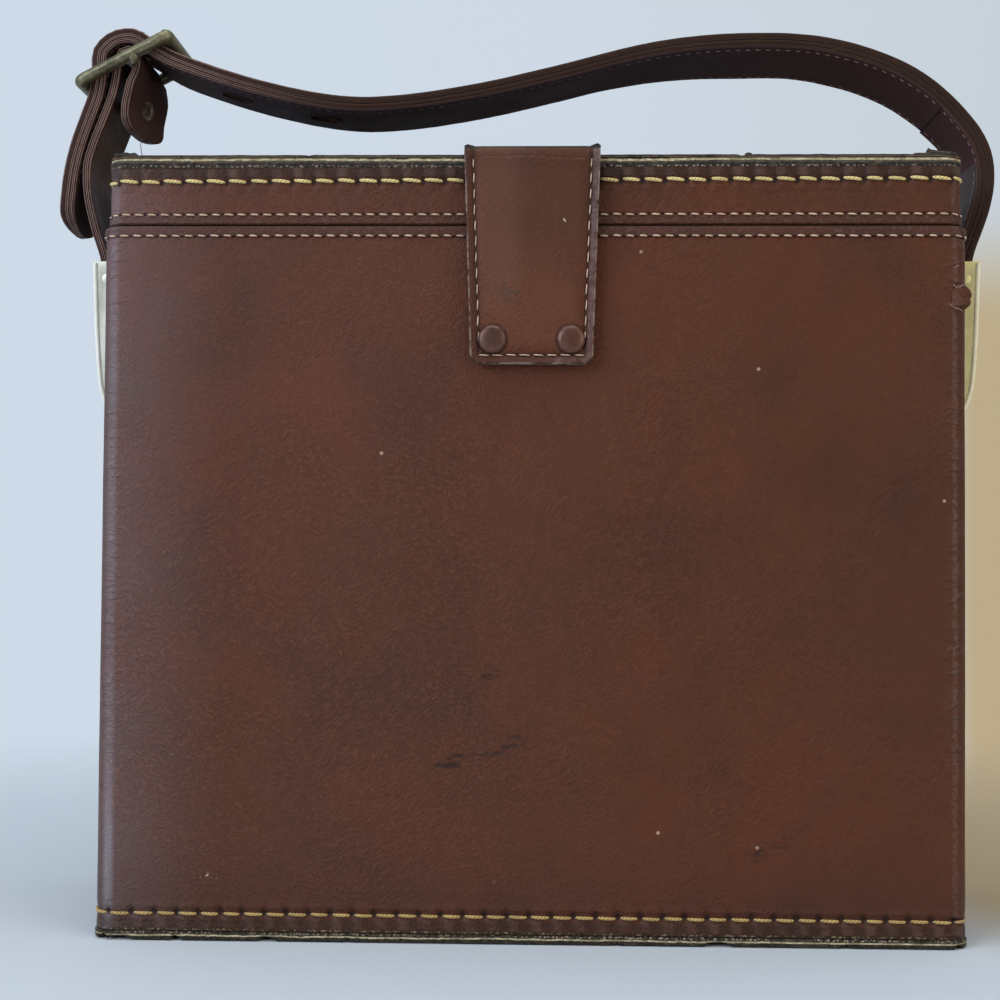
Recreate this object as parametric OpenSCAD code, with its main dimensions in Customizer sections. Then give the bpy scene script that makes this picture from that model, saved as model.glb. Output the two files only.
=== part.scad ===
// Camera case covered in leatherette, with a hinged lid, a closing tab and a shoulder strap.
// The case stands upright: X is its width, -Y its front, Z is up and z = 0 is the bottom.

/* [Case body] */
// Width over the covered sides
case_w = 233; // [180:1:300]
// Depth over the covered front and back
case_d = 82; // [76:1:120]
// Height of the body up to the parting line
mouth_z = 192; // [160:1:240]
// Thickness of the body boards
board_t = 3; // [2.4:0.2:4]
// Thickness of the covering
cover_t = 1; // [0.6:0.1:1.2]
// Radius of the upright edges
corner_r = 6; // [5:0.5:9]
// Thickness of the lining cloth
lining_t = 1; // [0.5:0.1:1.5]

/* [Bottom] */
// Thickness of the black sole under the body
sole_t = 2.4; // [1.6:0.2:4]
// How far the sole and the mouth binding stand proud of the covering
proud = 0.4; // [0.1:0.1:0.8]
// Thickness of the foam on the floor
floor_pad_t = 6; // [3:0.5:10]

/* [Mouth] */
// Height of the raised binding round the mouth
binding_h = 2.8; // [2:0.2:6]
// Thickness of the binding over the board edges
binding_top = 0.8; // [0.4:0.1:1.2]
// Thickness of the collar that locates the lid
collar_t = 2; // [1.6:0.1:3]
// How far the collar stands up into the lid
collar_up = 7; // [4:0.5:7.5]
// How far the collar reaches down into the body
collar_down = 20; // [10:1:30]

/* [Lid] */
// Height of the lid above the parting line
lid_h = 19.1; // [17:0.5:30]
// Gap at the parting line
parting = 0.4; // [0.2:0.1:0.8]
// How much narrower than the body the lid is at each side
lid_inset = 1; // [0.5:0.1:1.2]
// Thickness of the lid boards
lid_board_t = 2.4; // [2:0.1:3]
// Thickness of the leather on top of the lid
top_skin_t = 1.1; // [0.6:0.1:2]
// Height of the black rim round the lid's top
rim_h = 3.3; // [2:0.1:5]
// Thickness of the foam in the lid
lid_pad_t = 4.6; // [2:0.2:4.8]

/* [Inside] */
// Distance of the divider from the middle
divider_x = 36; // [-40:1:60]
// Thickness of the divider's board
divider_t = 2; // [1.5:0.1:3]
// Height of the divider's top
divider_top = 150; // [100:1:156]

/* [Hinge] */
// Length of the piano hinge
hinge_w = 200; // [120:10:210]
// Number of knuckles
knuckles = 8; // [4:1:12]
// Radius of the knuckles
knuckle_r = 1.6; // [1.5:0.05:1.8]
// Radius of the hinge pin
pin_r = 0.8; // [0.6:0.05:0.9]
// Thickness of the leaves
leaf_t = 0.8; // [0.5:0.1:1]
// Height of each leaf from its knuckles
leaf_h = 9; // [7:0.5:11]
// Number of rivets in each leaf
leaf_rivets = 7; // [3:1:9]

/* [Tab] */
// Width of the tab at the lid's edge
tab_top_w = 36.3; // [30:0.1:50]
// Width of the tab at its lower end
tab_low_w = 32.6; // [26:0.1:40]
// Height of the tab's lower end
tab_low_z = 154.5; // [140:0.1:160]
// Radius of the tab's lower corners
tab_corner_r = 2.8; // [1:0.1:6]
// Thickness of the tab leather
tab_t = 2.2; // [1.6:0.1:3]
// Thickness of the padded facing on the tab
facing_t = 0.5; // [0.3:0.1:1]
// Distance of the facing from the tab's edge
facing_in = 2.3; // [1.5:0.1:4]
// Thickness of the tab leather where it is sewn on the lid's top
anchor_t = 1.6; // [1:0.1:2]
// Length of that sewn end on the lid's top
anchor_l = 26; // [15:1:30]
// Distance between the two cap rivets
tab_rivet_gap = 20.9; // [16:0.1:24]
// Height of the rivets above the tab's lower end
tab_rivet_up = 6.6; // [5:0.1:8]
// Radius of the rivet caps
cap_r = 3.7; // [2.5:0.1:4]

/* [Catch] */
// Radius of the magnet's cup
cup_r = 6; // [4:0.1:6.2]
// Depth of the cup
cup_h = 2.2; // [1.6:0.1:2.4]
// Thickness of the steel keeper on the tab
keeper_t = 0.8; // [0.5:0.1:1]
// Gap between the cup and the keeper
catch_gap = 0.3; // [0.1:0.1:0.5]

/* [Strap brackets] */
// Height of the pivot studs above the bottom
pivot_z = 147; // [140:0.5:149]
// Height of a bracket above its stud
bracket_up = 39.6; // [36:0.2:44]
// Radius of a bracket's lower end
bracket_r = 9; // [7.5:0.5:10]
// Depth of a bracket at its mouth, away from the side
bracket_out = 8.9; // [8.8:0.1:11.5]
// Thickness of the bracket metal
metal_t = 1.2; // [0.8:0.1:1.3]
// Radius of the pivot studs
stud_r = 3; // [2:0.1:3.5]
// Thickness of the plate behind each bracket
backing_t = 0.8; // [0.5:0.1:0.9]
// Radius of the pins that hold the strap ends
strap_pin_r = 1.5; // [1:0.1:1.6]

/* [Strap] */
// Width of the strap
strap_w = 26; // [18:0.5:30]
// Thickness of the long strap
long_t = 4.4; // [3:0.1:4.4]
// Thickness of the short strap
short_t = 2.4; // [1.6:0.1:2.4]
// Thickness of the long strap's folded layer, pared down to lie in its bracket
folded_t = 1; // [0.8:0.1:1.2]
// Distance between the adjusting holes
hole_pitch = 27.6; // [20:0.2:30]
// Length of an adjusting hole
hole_l = 7; // [5:0.1:9]
// Width of an adjusting hole
hole_w = 3.6; // [2.5:0.1:5]

/* [Buckle] */
// Radius of the buckle's bars
bar_r = 1.4; // [1:0.1:1.4]
// Distance from the centre bar to each end bar
buckle_half = 13; // [12.6:0.1:15]
// Tilt of the buckle
buckle_tilt = 27.5; // [24:0.5:31]
// Gap between the strap's edges and the buckle's rails
rail_gap = 0.5; // [0.3:0.1:1]
// Radius of the prong
prong_r = 0.95; // [0.7:0.05:1]

/* [Hidden] */
fine = 64;
// Clearance of parts that turn, of parts laid side by side and of soft parts
run_gap = 0.06;
side_gap = 0.25;
soft_gap = 0.2;
eps = 0.01;

// Boards of the body
inner_in = cover_t + board_t;
bottom_board_z = sole_t + board_t;
board_top = mouth_z - binding_top;
cover_top = mouth_z - binding_h;
floor_z = bottom_board_z + lining_t;
lining_top = mouth_z - collar_down;
pad_top = floor_z + floor_pad_t;

// Lid: flush with the body at the back, set in at the front and the sides
lid_front_in = 0.6;
lid_w = case_w - 2 * lid_inset;
lid_d = case_d - lid_front_in;
lid_y = lid_front_in / 2;
lid_z = mouth_z + parting;
lid_top = mouth_z + lid_h + parting;
lid_in = cover_t + lid_board_t;
skin_z = lid_top - top_skin_t;
rim_z = skin_z - rim_h;
top_board_z = skin_z - board_t;
lid_lining_z = mouth_z + collar_up + 0.6;
lid_lining_t = 0.8;
collar_step = lid_inset - (board_t - lid_board_t) + 0.5;

// Hinge line
axis_y = case_d / 2 - cover_t - leaf_t + knuckle_r;
axis_z = lid_z;
knuckle_room = 0.4;
knuckle_w = hinge_w / knuckles;
leaf_edge = knuckle_r + 0.2;
leaf_y = case_d / 2 - cover_t - leaf_t;
leaf_rivet_r = 1;

// Tab
tab_back_y = -case_d / 2 - proud - catch_gap - keeper_t;
tab_front_y = tab_back_y - tab_t;
facing_y = tab_front_y - facing_t;
tab_axis_z = lid_top + anchor_t - 2.5;
tab_shoulder_r = 2.4;
tab_axis_y = -case_d / 2 + lid_front_in - 0.3 - tab_shoulder_r;
tab_rivet_z = tab_low_z + tab_rivet_up;
cap_t = 1;
tab_rivet_r = 1.4;
keeper_h = 11;

// Brackets and studs
side_x = case_w / 2;
bracket_x = side_x + backing_t + side_gap;
bracket_top = pivot_z + bracket_up;
wall_y = strap_w / 2 + side_gap + 1.25;
bracket_y = wall_y + metal_t;
stud_head_r = stud_r + 2;
stud_head_t = 1.2;
strap_pin_up = bracket_up - 4.8;
strap_pin_z = pivot_z + strap_pin_up;
strap_pin_x = side_x + 5.4;

// Buckle, placed over the left shoulder of the case
buckle_up = 34.1;
bar_x = -side_x - 0.7;
bar_z = lid_top + buckle_up;
fold_r = bar_r + side_gap + short_t / 2;
over_r = fold_r + short_t / 2 + 0.3 + long_t / 2;
rail_y = strap_w / 2 + rail_gap + bar_r + 0.15;
rail_r = bar_r + 0.15;
rail_half = buckle_half + bar_r + 0.4;
prong_eye_r = bar_r + 1.5;
prong_eye_w = 3;
prong_lift = 30;
prong_rest = bar_r + prong_r + 0.15;

// Middle lines of the straps. A start is measured from the side of the case and the height of the
// studs, a run from the side of the case and the top of the lid.
right_start = [[5.7, strap_pin_up], [6.1, 42], [10.3, 54]];
right_run = [
    [12, -1.5], [11, 7.1], [5.9, 15.8], [-4.6, 26.1], [-18.5, 33.5], [-36.5, 38.1], [-58, 38.9],
    [-81.5, 36.6], [-108.5, 30.1]
];
left_run = [[100.5, 24.7], [76.5, 21.3], [58.5, 21.5], [36.5, 26.1], [16.1, 32.7], [7.7, 36.8]];
tail_run = [
    [-7.5, 30.1], [-8.1, 24.1], [-10.6, 16.8], [-13.1, 9.3], [-14.8, 1.5], [-15.6, -8.5],
    [-15.1, -15.1]
];
short_start = [[-6.7, strap_pin_up], [-6.7, 41], [-8.8, 49.8]];
short_run = [
    [-10.4, -5.9], [-10.6, 1.9], [-9.6, 7.3], [-6.8, 15.4], [-4.2, 23.7], [-3.9, 29]
];
fold_run = [[1.5, 30.7], [-0.1, 24.9], [-1.2, 20], [-1.1, 13.3]];
// Height over the lid of the end of the long strap's folded layer, and of the rivet
rivet_up = 19.5;

function stud_point(side, p) = [side * side_x + p[0], pivot_z + p[1]];
function lid_point(side, p) = [side * side_x + p[0], lid_top + p[1]];
function round_bar(r, a) = [bar_x + r * cos(a), bar_z + r * sin(a)];

// Smooth curve through the points of a list
function blend4(a, b, c, d, t) = 0.5 * (2 * b + (c - a) * t + (2 * a - 5 * b + 4 * c - d) * t * t
    + (3 * b - a - 3 * c + d) * t * t * t);
function smooth(p, n) = [
    for (i = [0 : len(p) - 2])
        for (j = [0 : n - (i == len(p) - 2 ? 0 : 1)])
            blend4(p[max(i - 1, 0)], p[i], p[i + 1], p[min(i + 2, len(p) - 1)], j / n)
];
function unit(v) = v / norm(v);
function along(p, i) = unit(p[min(i + 1, len(p) - 1)] - p[max(i - 1, 0)]);
// Right-hand side of the direction of travel
function beside(p, i) = [along(p, i)[1], -along(p, i)[0]];
// Outline between two distances from a curve
function ribbon(p, a, b, from, to) = concat(
    [for (i = [from : to]) p[i] + a * beside(p, i)],
    [for (i = [to : -1 : from]) p[i] + b * beside(p, i)]
);
// Round end below the start of a curve, from its inner side back to its outer side
function end_arc(p, a, b) = let (
    side = beside(p, 0),
    mid = p[0] + (a + b) / 2 * side,
    r = (a - b) / 2
) [for (t = [165 : -15 : 15]) mid + r * (cos(t) * side - sin(t) * along(p, 0))];
function crossing(p, x) = [
    for (i = [0 : len(p) - 2]) if (p[i][0] >= x && p[i + 1][0] < x) i
][0];
function below(p, z) = [for (i = [0 : len(p) - 1]) if (p[i][1] > z) i][0];

steps = 3;
long_path = smooth(concat(
    [for (p = right_start) stud_point(1, p)],
    [for (p = right_run) lid_point(1, p)],
    [for (p = left_run) lid_point(-1, p)],
    [for (a = [66 : 26 : 170]) round_bar(over_r, a)],
    [for (p = tail_run) lid_point(-1, p)]
), steps);
long_end = len(long_path) - 1;
short_path = smooth(concat(
    [for (p = short_start) stud_point(-1, p)],
    [for (p = short_run) lid_point(-1, p)],
    [for (a = [185 : -33 : -15]) round_bar(fold_r, a)],
    [for (p = fold_run) lid_point(-1, p)]
), steps);
short_turn = steps * (len(short_start) + len(short_run));
short_end = len(short_path) - 1;
hole_x = bar_x + 1.8;
tail_hole_i = long_end - 2 * steps - 3;

// Rounded rectangle seen from above, and a ring between two of them
module plan(w, d, r) {
    union() {
        square([w - 2 * r, d], center = true);
        square([w, d - 2 * r], center = true);
        for (x = [-1, 1], y = [-1, 1])
            translate([x * (w / 2 - r), y * (d / 2 - r)]) circle(r, $fn = fine);
    }
}

// Each inset is measured in from the covered outside of the body
module body_ring(z0, z1, out, in) {
    translate([0, 0, z0])
        linear_extrude(z1 - z0)
            difference() {
                plan(case_w - 2 * out, case_d - 2 * out, corner_r - out);
                plan(case_w - 2 * in, case_d - 2 * in, max(corner_r - in, 1));
            }
}

module body_slab(z0, z1, in) {
    translate([0, 0, z0])
        linear_extrude(z1 - z0) plan(case_w - 2 * in, case_d - 2 * in, max(corner_r - in, 1));
}

module lid_ring(z0, z1, out, in) {
    translate([0, lid_y, z0])
        linear_extrude(z1 - z0)
            difference() {
                plan(lid_w - 2 * out, lid_d - 2 * out, corner_r - out);
                plan(lid_w - 2 * in, lid_d - 2 * in, max(corner_r - in, 1));
            }
}

module lid_slab(z0, z1, in) {
    translate([0, lid_y, z0])
        linear_extrude(z1 - z0) plan(lid_w - 2 * in, lid_d - 2 * in, max(corner_r - in, 1));
}

// Space in front of the inside, behind it, or beyond one of its sides. The boards are cut with these:
// the front and the back are as wide as the case, and the sides stand between them.
module front_zone(y, far) {
    translate([-case_w, -far, -lid_top]) cube([2 * case_w, far + y, 3 * lid_top]);
}

module back_zone(y, far) {
    translate([-case_w, y, -lid_top]) cube([2 * case_w, far, 3 * lid_top]);
}

module side_zone(side, x, y0, y1) {
    translate([side > 0 ? x : -x - case_w, y0, -lid_top])
        cube([case_w, y1 - y0, 3 * lid_top]);
}

inner_y = case_d / 2 - inner_in;
lid_front_y = lid_y - lid_d / 2 + lid_in;
lid_back_y = lid_y + lid_d / 2 - lid_in;

// Room for the hinge knuckles, and for the two leaves under the covering
module knuckle_space() {
    translate([-hinge_w / 2 - knuckle_room, axis_y, axis_z])
        rotate([0, 90, 0])
            cylinder(r = knuckle_r + knuckle_room, h = hinge_w + 2 * knuckle_room, $fn = fine);
}

module leaf_space(z0, z1) {
    translate([-hinge_w / 2, leaf_y, z0]) cube([hinge_w, leaf_t + eps, z1 - z0]);
}

module leaf_rivet_set(z, depth) {
    for (i = [0 : leaf_rivets - 1])
        translate([-hinge_w / 2 + hinge_w * (i + 0.5) / leaf_rivets, leaf_y + leaf_t, z])
            rotate([90, 0, 0]) cylinder(r = leaf_rivet_r, h = depth, $fn = fine);
}

body_rivet_z = axis_z - leaf_edge - leaf_h / 2;
lid_rivet_z = axis_z + leaf_edge + leaf_h / 2;

module front_catch_hole(r, depth) {
    translate([0, -case_d / 2 + depth, tab_rivet_z])
        rotate([90, 0, 0]) cylinder(r = r, h = depth + 5, $fn = fine);
}

module stud_hole(side, r) {
    translate([side * (side_x - 20), 0, pivot_z])
        rotate([0, side * 90, 0]) cylinder(r = r, h = 30, $fn = fine);
}

// Body

module bottom_sole() {
    color("#2d2b28") body_slab(0, sole_t, -proud);
}

module bottom_board() {
    color("#8a6a45") body_slab(sole_t, bottom_board_z, inner_in);
}

module front_board() {
    color("#8a6a45")
        difference() {
            intersection() {
                body_slab(sole_t, board_top, cover_t);
                front_zone(-inner_y, case_d);
            }
            front_catch_hole(cup_r + side_gap, cup_h - proud + 0.1);
            front_catch_hole(catch_rivet_r, case_d / 4);
        }
}

module back_board() {
    color("#8a6a45")
        difference() {
            intersection() {
                body_slab(sole_t, board_top, cover_t);
                back_zone(inner_y, case_d);
            }
            knuckle_space();
            leaf_space(axis_z - leaf_edge - leaf_h, mouth_z);
            leaf_rivet_set(body_rivet_z, board_t + 1);
        }
}

module side_board(side) {
    color("#8a6a45")
        difference() {
            intersection() {
                body_slab(sole_t, board_top, cover_t);
                side_zone(side, side_x - inner_in, -inner_y, inner_y);
            }
            stud_hole(side, stud_r + run_gap);
        }
}

module left_board() {
    side_board(-1);
}

module right_board() {
    side_board(1);
}

module body_cover() {
    color("#5a3a30")
        difference() {
            body_ring(sole_t, cover_top, 0, cover_t);
            front_catch_hole(cup_r + side_gap, cover_t + 1);
            stud_hole(-1, stud_r + run_gap);
            stud_hole(1, stud_r + run_gap);
            knuckle_space();
        }
}

module mouth_binding() {
    color("#5f3f34")
        difference() {
            union() {
                body_ring(cover_top, board_top, -proud, cover_t);
                body_ring(board_top, mouth_z, -proud, inner_in);
            }
            knuckle_space();
            leaf_space(cover_top - 1, mouth_z + 1);
        }
}

module mouth_collar() {
    color("#2a2522")
        union() {
            body_ring(lining_top, mouth_z, inner_in, inner_in + collar_t);
            body_ring(mouth_z, mouth_z + collar_up, inner_in + collar_step, inner_in + collar_t);
        }
}

module body_lining() {
    color("#7c2f2a")
        union() {
            body_slab(bottom_board_z, floor_z, inner_in);
            body_ring(floor_z, lining_top, inner_in, inner_in + lining_t);
        }
}

module floor_pad() {
    color("#8c3832") body_slab(floor_z, pad_top, inner_in + lining_t + soft_gap);
}

divider_d = case_d - 2 * (inner_in + lining_t + soft_gap);

module divider_board() {
    color("#8a6a45")
        translate([divider_x - divider_t / 2, -divider_d / 2, pad_top + soft_gap])
            cube([divider_t, divider_d, divider_top - pad_top - soft_gap]);
}

module divider_sleeve() {
    color("#7c2f2a")
        for (x = [divider_x - divider_t / 2 - lining_t, divider_x + divider_t / 2])
            translate([x, -divider_d / 2, pad_top + soft_gap])
                cube([lining_t, divider_d, divider_top - pad_top - soft_gap]);
}

// Hinge

module knuckle_row(first) {
    for (i = [first : 2 : knuckles - 1])
        translate([-hinge_w / 2 + i * knuckle_w + side_gap / 2, axis_y, axis_z])
            rotate([0, 90, 0]) cylinder(r = knuckle_r, h = knuckle_w - side_gap, $fn = fine);
}

module knuckle_webs(first, z0, z1) {
    for (i = [first : 2 : knuckles - 1])
        translate([-hinge_w / 2 + i * knuckle_w + side_gap / 2, leaf_y, z0])
            cube([knuckle_w - side_gap, leaf_t, z1 - z0]);
}

module hinge_bore() {
    translate([-hinge_w, axis_y, axis_z])
        rotate([0, 90, 0]) cylinder(r = pin_r + run_gap, h = 2 * hinge_w, $fn = fine);
}

module hinge_leaf(first, z0, z1, web0, web1, rivet_z) {
    color("#9a8a52")
        difference() {
            union() {
                translate([-hinge_w / 2, leaf_y, z0]) cube([hinge_w, leaf_t, z1 - z0]);
                knuckle_webs(first, web0, web1);
                knuckle_row(first);
            }
            hinge_bore();
            leaf_rivet_set(rivet_z, board_t);
        }
}

module hinge_leaf_body() {
    hinge_leaf(0, axis_z - leaf_edge - leaf_h, axis_z - leaf_edge, axis_z - leaf_edge, axis_z,
        body_rivet_z);
}

module hinge_leaf_lid() {
    hinge_leaf(1, axis_z + leaf_edge, axis_z + leaf_edge + leaf_h, axis_z, axis_z + leaf_edge,
        lid_rivet_z);
}

module hinge_pin() {
    color("#8c8c86")
        translate([-hinge_w / 2, axis_y, axis_z])
            rotate([0, 90, 0]) cylinder(r = pin_r, h = hinge_w, $fn = fine);
}

module hinge_rivets_body() {
    color("#9a8a52") leaf_rivet_set(body_rivet_z, board_t);
}

module hinge_rivets_lid() {
    color("#9a8a52") leaf_rivet_set(lid_rivet_z, lid_board_t);
}

// Lid

module lid_top_board() {
    color("#8a6a45") lid_slab(top_board_z, skin_z, lid_in);
}

module lid_front_board() {
    color("#8a6a45")
        intersection() {
            lid_slab(lid_z, skin_z, cover_t);
            front_zone(lid_front_y, case_d);
        }
}

module lid_back_board() {
    color("#8a6a45")
        difference() {
            intersection() {
                lid_slab(lid_z, skin_z, cover_t);
                back_zone(lid_back_y, case_d);
            }
            knuckle_space();
            leaf_space(lid_z - 1, axis_z + leaf_edge + leaf_h);
            leaf_rivet_set(lid_rivet_z, lid_board_t + 1);
        }
}

module lid_side_board(side) {
    color("#8a6a45")
        intersection() {
            lid_slab(lid_z, skin_z, cover_t);
            side_zone(side, lid_w / 2 - lid_in, lid_front_y, lid_back_y);
        }
}

module lid_left_board() {
    lid_side_board(-1);
}

module lid_right_board() {
    lid_side_board(1);
}

module lid_cover() {
    color("#5a3a30")
        difference() {
            lid_ring(lid_z, rim_z, 0, cover_t);
            knuckle_space();
        }
}

module lid_rim() {
    color("#2d2b28") lid_ring(rim_z, skin_z, 0, cover_t);
}

module lid_top_skin() {
    color("#4a3028") lid_slab(skin_z, lid_top, 0);
}

module lid_lining() {
    color("#7c2f2a")
        union() {
            lid_slab(top_board_z - lid_lining_t, top_board_z, lid_in);
            lid_ring(lid_lining_z, top_board_z - lid_lining_t, lid_in, lid_in + lid_lining_t);
        }
}

module lid_pad() {
    color("#8c3832")
        lid_slab(top_board_z - lid_lining_t - lid_pad_t, top_board_z - lid_lining_t,
            lid_in + lid_lining_t + soft_gap + 1.5);
}

// Tab. Its outline is drawn in X and Z, and laid in front of the lid.

function tab_outline(in) = let (
    top = tab_axis_z,
    low = tab_low_z + in,
    r = max(tab_corner_r - in / 2, 0.5),
    half = tab_low_w / 2 - in
) concat(
    [[-tab_top_w / 2 + in, top], [tab_top_w / 2 - in, top]],
    [for (a = [0 : -15 : -90]) [half - r + r * cos(a), low + r + r * sin(a)]],
    [for (a = [-90 : -15 : -180]) [-half + r + r * cos(a), low + r + r * sin(a)]]
);

module tab_layer(front, back, in) {
    translate([0, back, 0])
        rotate([90, 0, 0])
            linear_extrude(back - front) polygon(tab_outline(in));
}

module tab_rivet_holes(r) {
    for (x = [-1, 1])
        translate([x * tab_rivet_gap / 2, facing_y - 5, tab_rivet_z])
            rotate([-90, 0, 0]) cylinder(r = r, h = 20, $fn = fine);
}

module tab_anchor() {
    color("#5a3a30")
        difference() {
            translate([-tab_top_w / 2, tab_axis_y, lid_top]) cube([tab_top_w, anchor_l, anchor_t]);
            translate([-case_w / 2, tab_axis_y, tab_axis_z])
                rotate([0, 90, 0]) cylinder(r = tab_shoulder_r + 0.3, h = case_w, $fn = fine);
        }
}

module tab_flap() {
    color("#5f3f34")
        difference() {
            union() {
                tab_layer(tab_front_y, tab_back_y, 0);
                translate([-tab_top_w / 2, tab_axis_y, tab_axis_z])
                    rotate([0, 90, 0]) cylinder(r = tab_shoulder_r, h = tab_top_w, $fn = fine);
            }
            tab_rivet_holes(tab_rivet_r);
        }
}

module tab_facing() {
    color("#5a3a30")
        difference() {
            intersection() {
                tab_layer(facing_y, tab_front_y, facing_in);
                translate([-case_w / 2, -case_d, 0])
                    cube([case_w, case_d, tab_axis_z - tab_shoulder_r - 0.5]);
            }
            tab_rivet_holes(tab_rivet_r);
        }
}

keeper_top = tab_low_z + facing_in + keeper_h;

module tab_backing() {
    color("#4a3028")
        intersection() {
            tab_layer(tab_back_y, tab_back_y + keeper_t, facing_in);
            translate([-case_w / 2, -case_d, keeper_top + side_gap])
                cube([case_w, case_d, tab_axis_z - tab_shoulder_r - 1 - keeper_top]);
        }
}

module tab_keeper() {
    color("#9c9c98")
        difference() {
            intersection() {
                tab_layer(tab_back_y, tab_back_y + keeper_t, facing_in);
                translate([-case_w / 2, -case_d, 0]) cube([case_w, case_d, keeper_top]);
            }
            tab_rivet_holes(tab_rivet_r);
        }
}

module tab_rivets() {
    color("#5b3c33")
        for (x = [-1, 1])
            translate([x * tab_rivet_gap / 2, 0, tab_rivet_z])
                rotate([-90, 0, 0]) {
                    translate([0, 0, facing_y - cap_t]) cylinder(r = cap_r, h = cap_t, $fn = fine);
                    translate([0, 0, facing_y - eps])
                        cylinder(r = tab_rivet_r, h = tab_back_y + keeper_t - facing_y + eps,
                            $fn = fine);
                }
}

// Catch

catch_rivet_r = 1.2;
cup_wall = 0.8;
cup_front = -case_d / 2 - proud;

module catch_cup() {
    color("#9c9c98")
        translate([0, cup_front, tab_rivet_z])
            rotate([-90, 0, 0])
                difference() {
                    cylinder(r = cup_r, h = cup_h, $fn = fine);
                    translate([0, 0, -1])
                        cylinder(r = cup_r - cup_wall, h = cup_h - cup_wall + 1, $fn = fine);
                    translate([0, 0, -1]) cylinder(r = catch_rivet_r, h = cup_h + 2, $fn = fine);
                }
}

module catch_magnet() {
    color("#3c3c3e")
        translate([0, cup_front + 0.1, tab_rivet_z])
            rotate([-90, 0, 0])
                difference() {
                    cylinder(r = cup_r - cup_wall - 0.05, h = cup_h - cup_wall - 0.1, $fn = fine);
                    translate([0, 0, -1]) cylinder(r = catch_rivet_r + 1, h = cup_h + 2, $fn = fine);
                }
}

module catch_rivet() {
    color("#9a8a52")
        translate([0, cup_front, tab_rivet_z])
            rotate([-90, 0, 0]) {
                translate([0, 0, cup_h - cup_wall - 0.5])
                    cylinder(r = catch_rivet_r + 0.8, h = 0.5, $fn = fine);
                translate([0, 0, cup_h - cup_wall - eps])
                    cylinder(r = catch_rivet_r, h = inner_in + proud - cup_h + cup_wall + eps,
                        $fn = fine);
            }
}

// Brackets. The pear-shaped face is drawn in Y and Z round the stud, the side profile in X and Z.

function rim_touch(half, up, r) = let (
    reach = norm([half, up]),
    a = atan2(up, half) - acos(r / reach)
) [r * cos(a), r * sin(a)];

module pear(half, up, r) {
    touch = rim_touch(half, up, r);
    from = atan2(touch[1], touch[0]);
    polygon(concat(
        [[-half, up], [half, up]],
        [for (k = [0 : 16]) let (a = from - (180 + 2 * from) * k / 16) [r * cos(a), r * sin(a)]]
    ));
}

// Outer line of the bracket, as distances from its flat base and from the stud
bracket_line = smooth([
    [2.2, -bracket_r], [bracket_out - 4.9, -bracket_r + 1.8], [bracket_out - 3, -2],
    [bracket_out - 1.8, 6], [bracket_out - 0.9, 20], [bracket_out, bracket_up]
], 3);

module bracket_profile(in) {
    top = bracket_up + in;
    polygon(concat(
        [[in, top], [in, -bracket_r + in]],
        [for (p = bracket_line) if (p[0] > 2 * in) [p[0] - in, p[1] + in]],
        in > 0 ? [[bracket_out - in, top + 1], [in, top + 1]] : []
    ));
}

// Depth runs along X away from the case, height along Z
module bracket_solid(half, r, in) {
    intersection() {
        rotate([90, 0, 90]) linear_extrude(bracket_out + 5) pear(half, bracket_up + in, r);
        translate([0, case_d / 2, 0])
            rotate([90, 0, 0]) linear_extrude(case_d) bracket_profile(in);
    }
}

module bracket() {
    difference() {
        bracket_solid(bracket_y, bracket_r, 0);
        bracket_solid(wall_y, bracket_r - metal_t, metal_t);
        translate([-1, 0, 0]) rotate([0, 90, 0]) cylinder(r = stud_r + run_gap, h = 4, $fn = fine);
        translate([strap_pin_x - bracket_x, case_d / 2, strap_pin_up])
            rotate([90, 0, 0]) cylinder(r = strap_pin_r, h = case_d, $fn = fine);
    }
}

module on_side(side) {
    if (side > 0) translate([0, 0, pivot_z]) children();
    else mirror([1, 0, 0]) translate([0, 0, pivot_z]) children();
}

module backing(side) {
    color("#b9ae74")
        on_side(side)
            translate([side_x, 0, 0])
                rotate([0, 90, 0])
                    difference() {
                        cylinder(r = bracket_r + 1.5, h = backing_t, $fn = fine);
                        translate([0, 0, -1])
                            cylinder(r = stud_r + run_gap, h = backing_t + 2, $fn = fine);
                    }
}

module left_backing() {
    backing(-1);
}

module right_backing() {
    backing(1);
}

module stud(side) {
    color("#a89c66")
        on_side(side)
            rotate([0, 90, 0]) {
                translate([0, 0, side_x - inner_in])
                    cylinder(r = stud_r, h = inner_in + backing_t + side_gap + metal_t + side_gap,
                        $fn = fine);
                translate([0, 0, bracket_x + metal_t + side_gap - eps])
                    cylinder(r = stud_head_r, h = stud_head_t, $fn = fine);
            }
}

module left_stud() {
    stud(-1);
}

module right_stud() {
    stud(1);
}

module left_bracket() {
    color("#dcdccb") on_side(-1) translate([bracket_x, 0, 0]) bracket();
}

module right_bracket() {
    color("#b9ae74") on_side(1) translate([bracket_x, 0, 0]) bracket();
}

module strap_pins() {
    color("#8f8a70")
        for (side = [-1, 1])
            translate([side * strap_pin_x, bracket_y, strap_pin_z])
                rotate([90, 0, 0]) cylinder(r = strap_pin_r, h = 2 * bracket_y, $fn = fine);
}

// Strap. Outlines in X and Z are drawn as wide as the strap, along Y.

module across(w) {
    translate([0, w / 2, 0]) rotate([90, 0, 0]) linear_extrude(w) children();
}

// An oval hole through the strap
oval = [
    for (side = [1, -1])
        for (a = [-90 : 15 : 90])
            [side * ((hole_l - hole_w) / 2 + hole_w / 2 * cos(a)), side * hole_w / 2 * sin(a)]
];

module slot_through(p, i) {
    translate([p[i][0], 0, p[i][1]])
        rotate([0, -atan2(along(p, i)[1], along(p, i)[0]), 0])
            translate([0, 0, -long_t]) linear_extrude(2 * long_t) polygon(oval);
}

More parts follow.
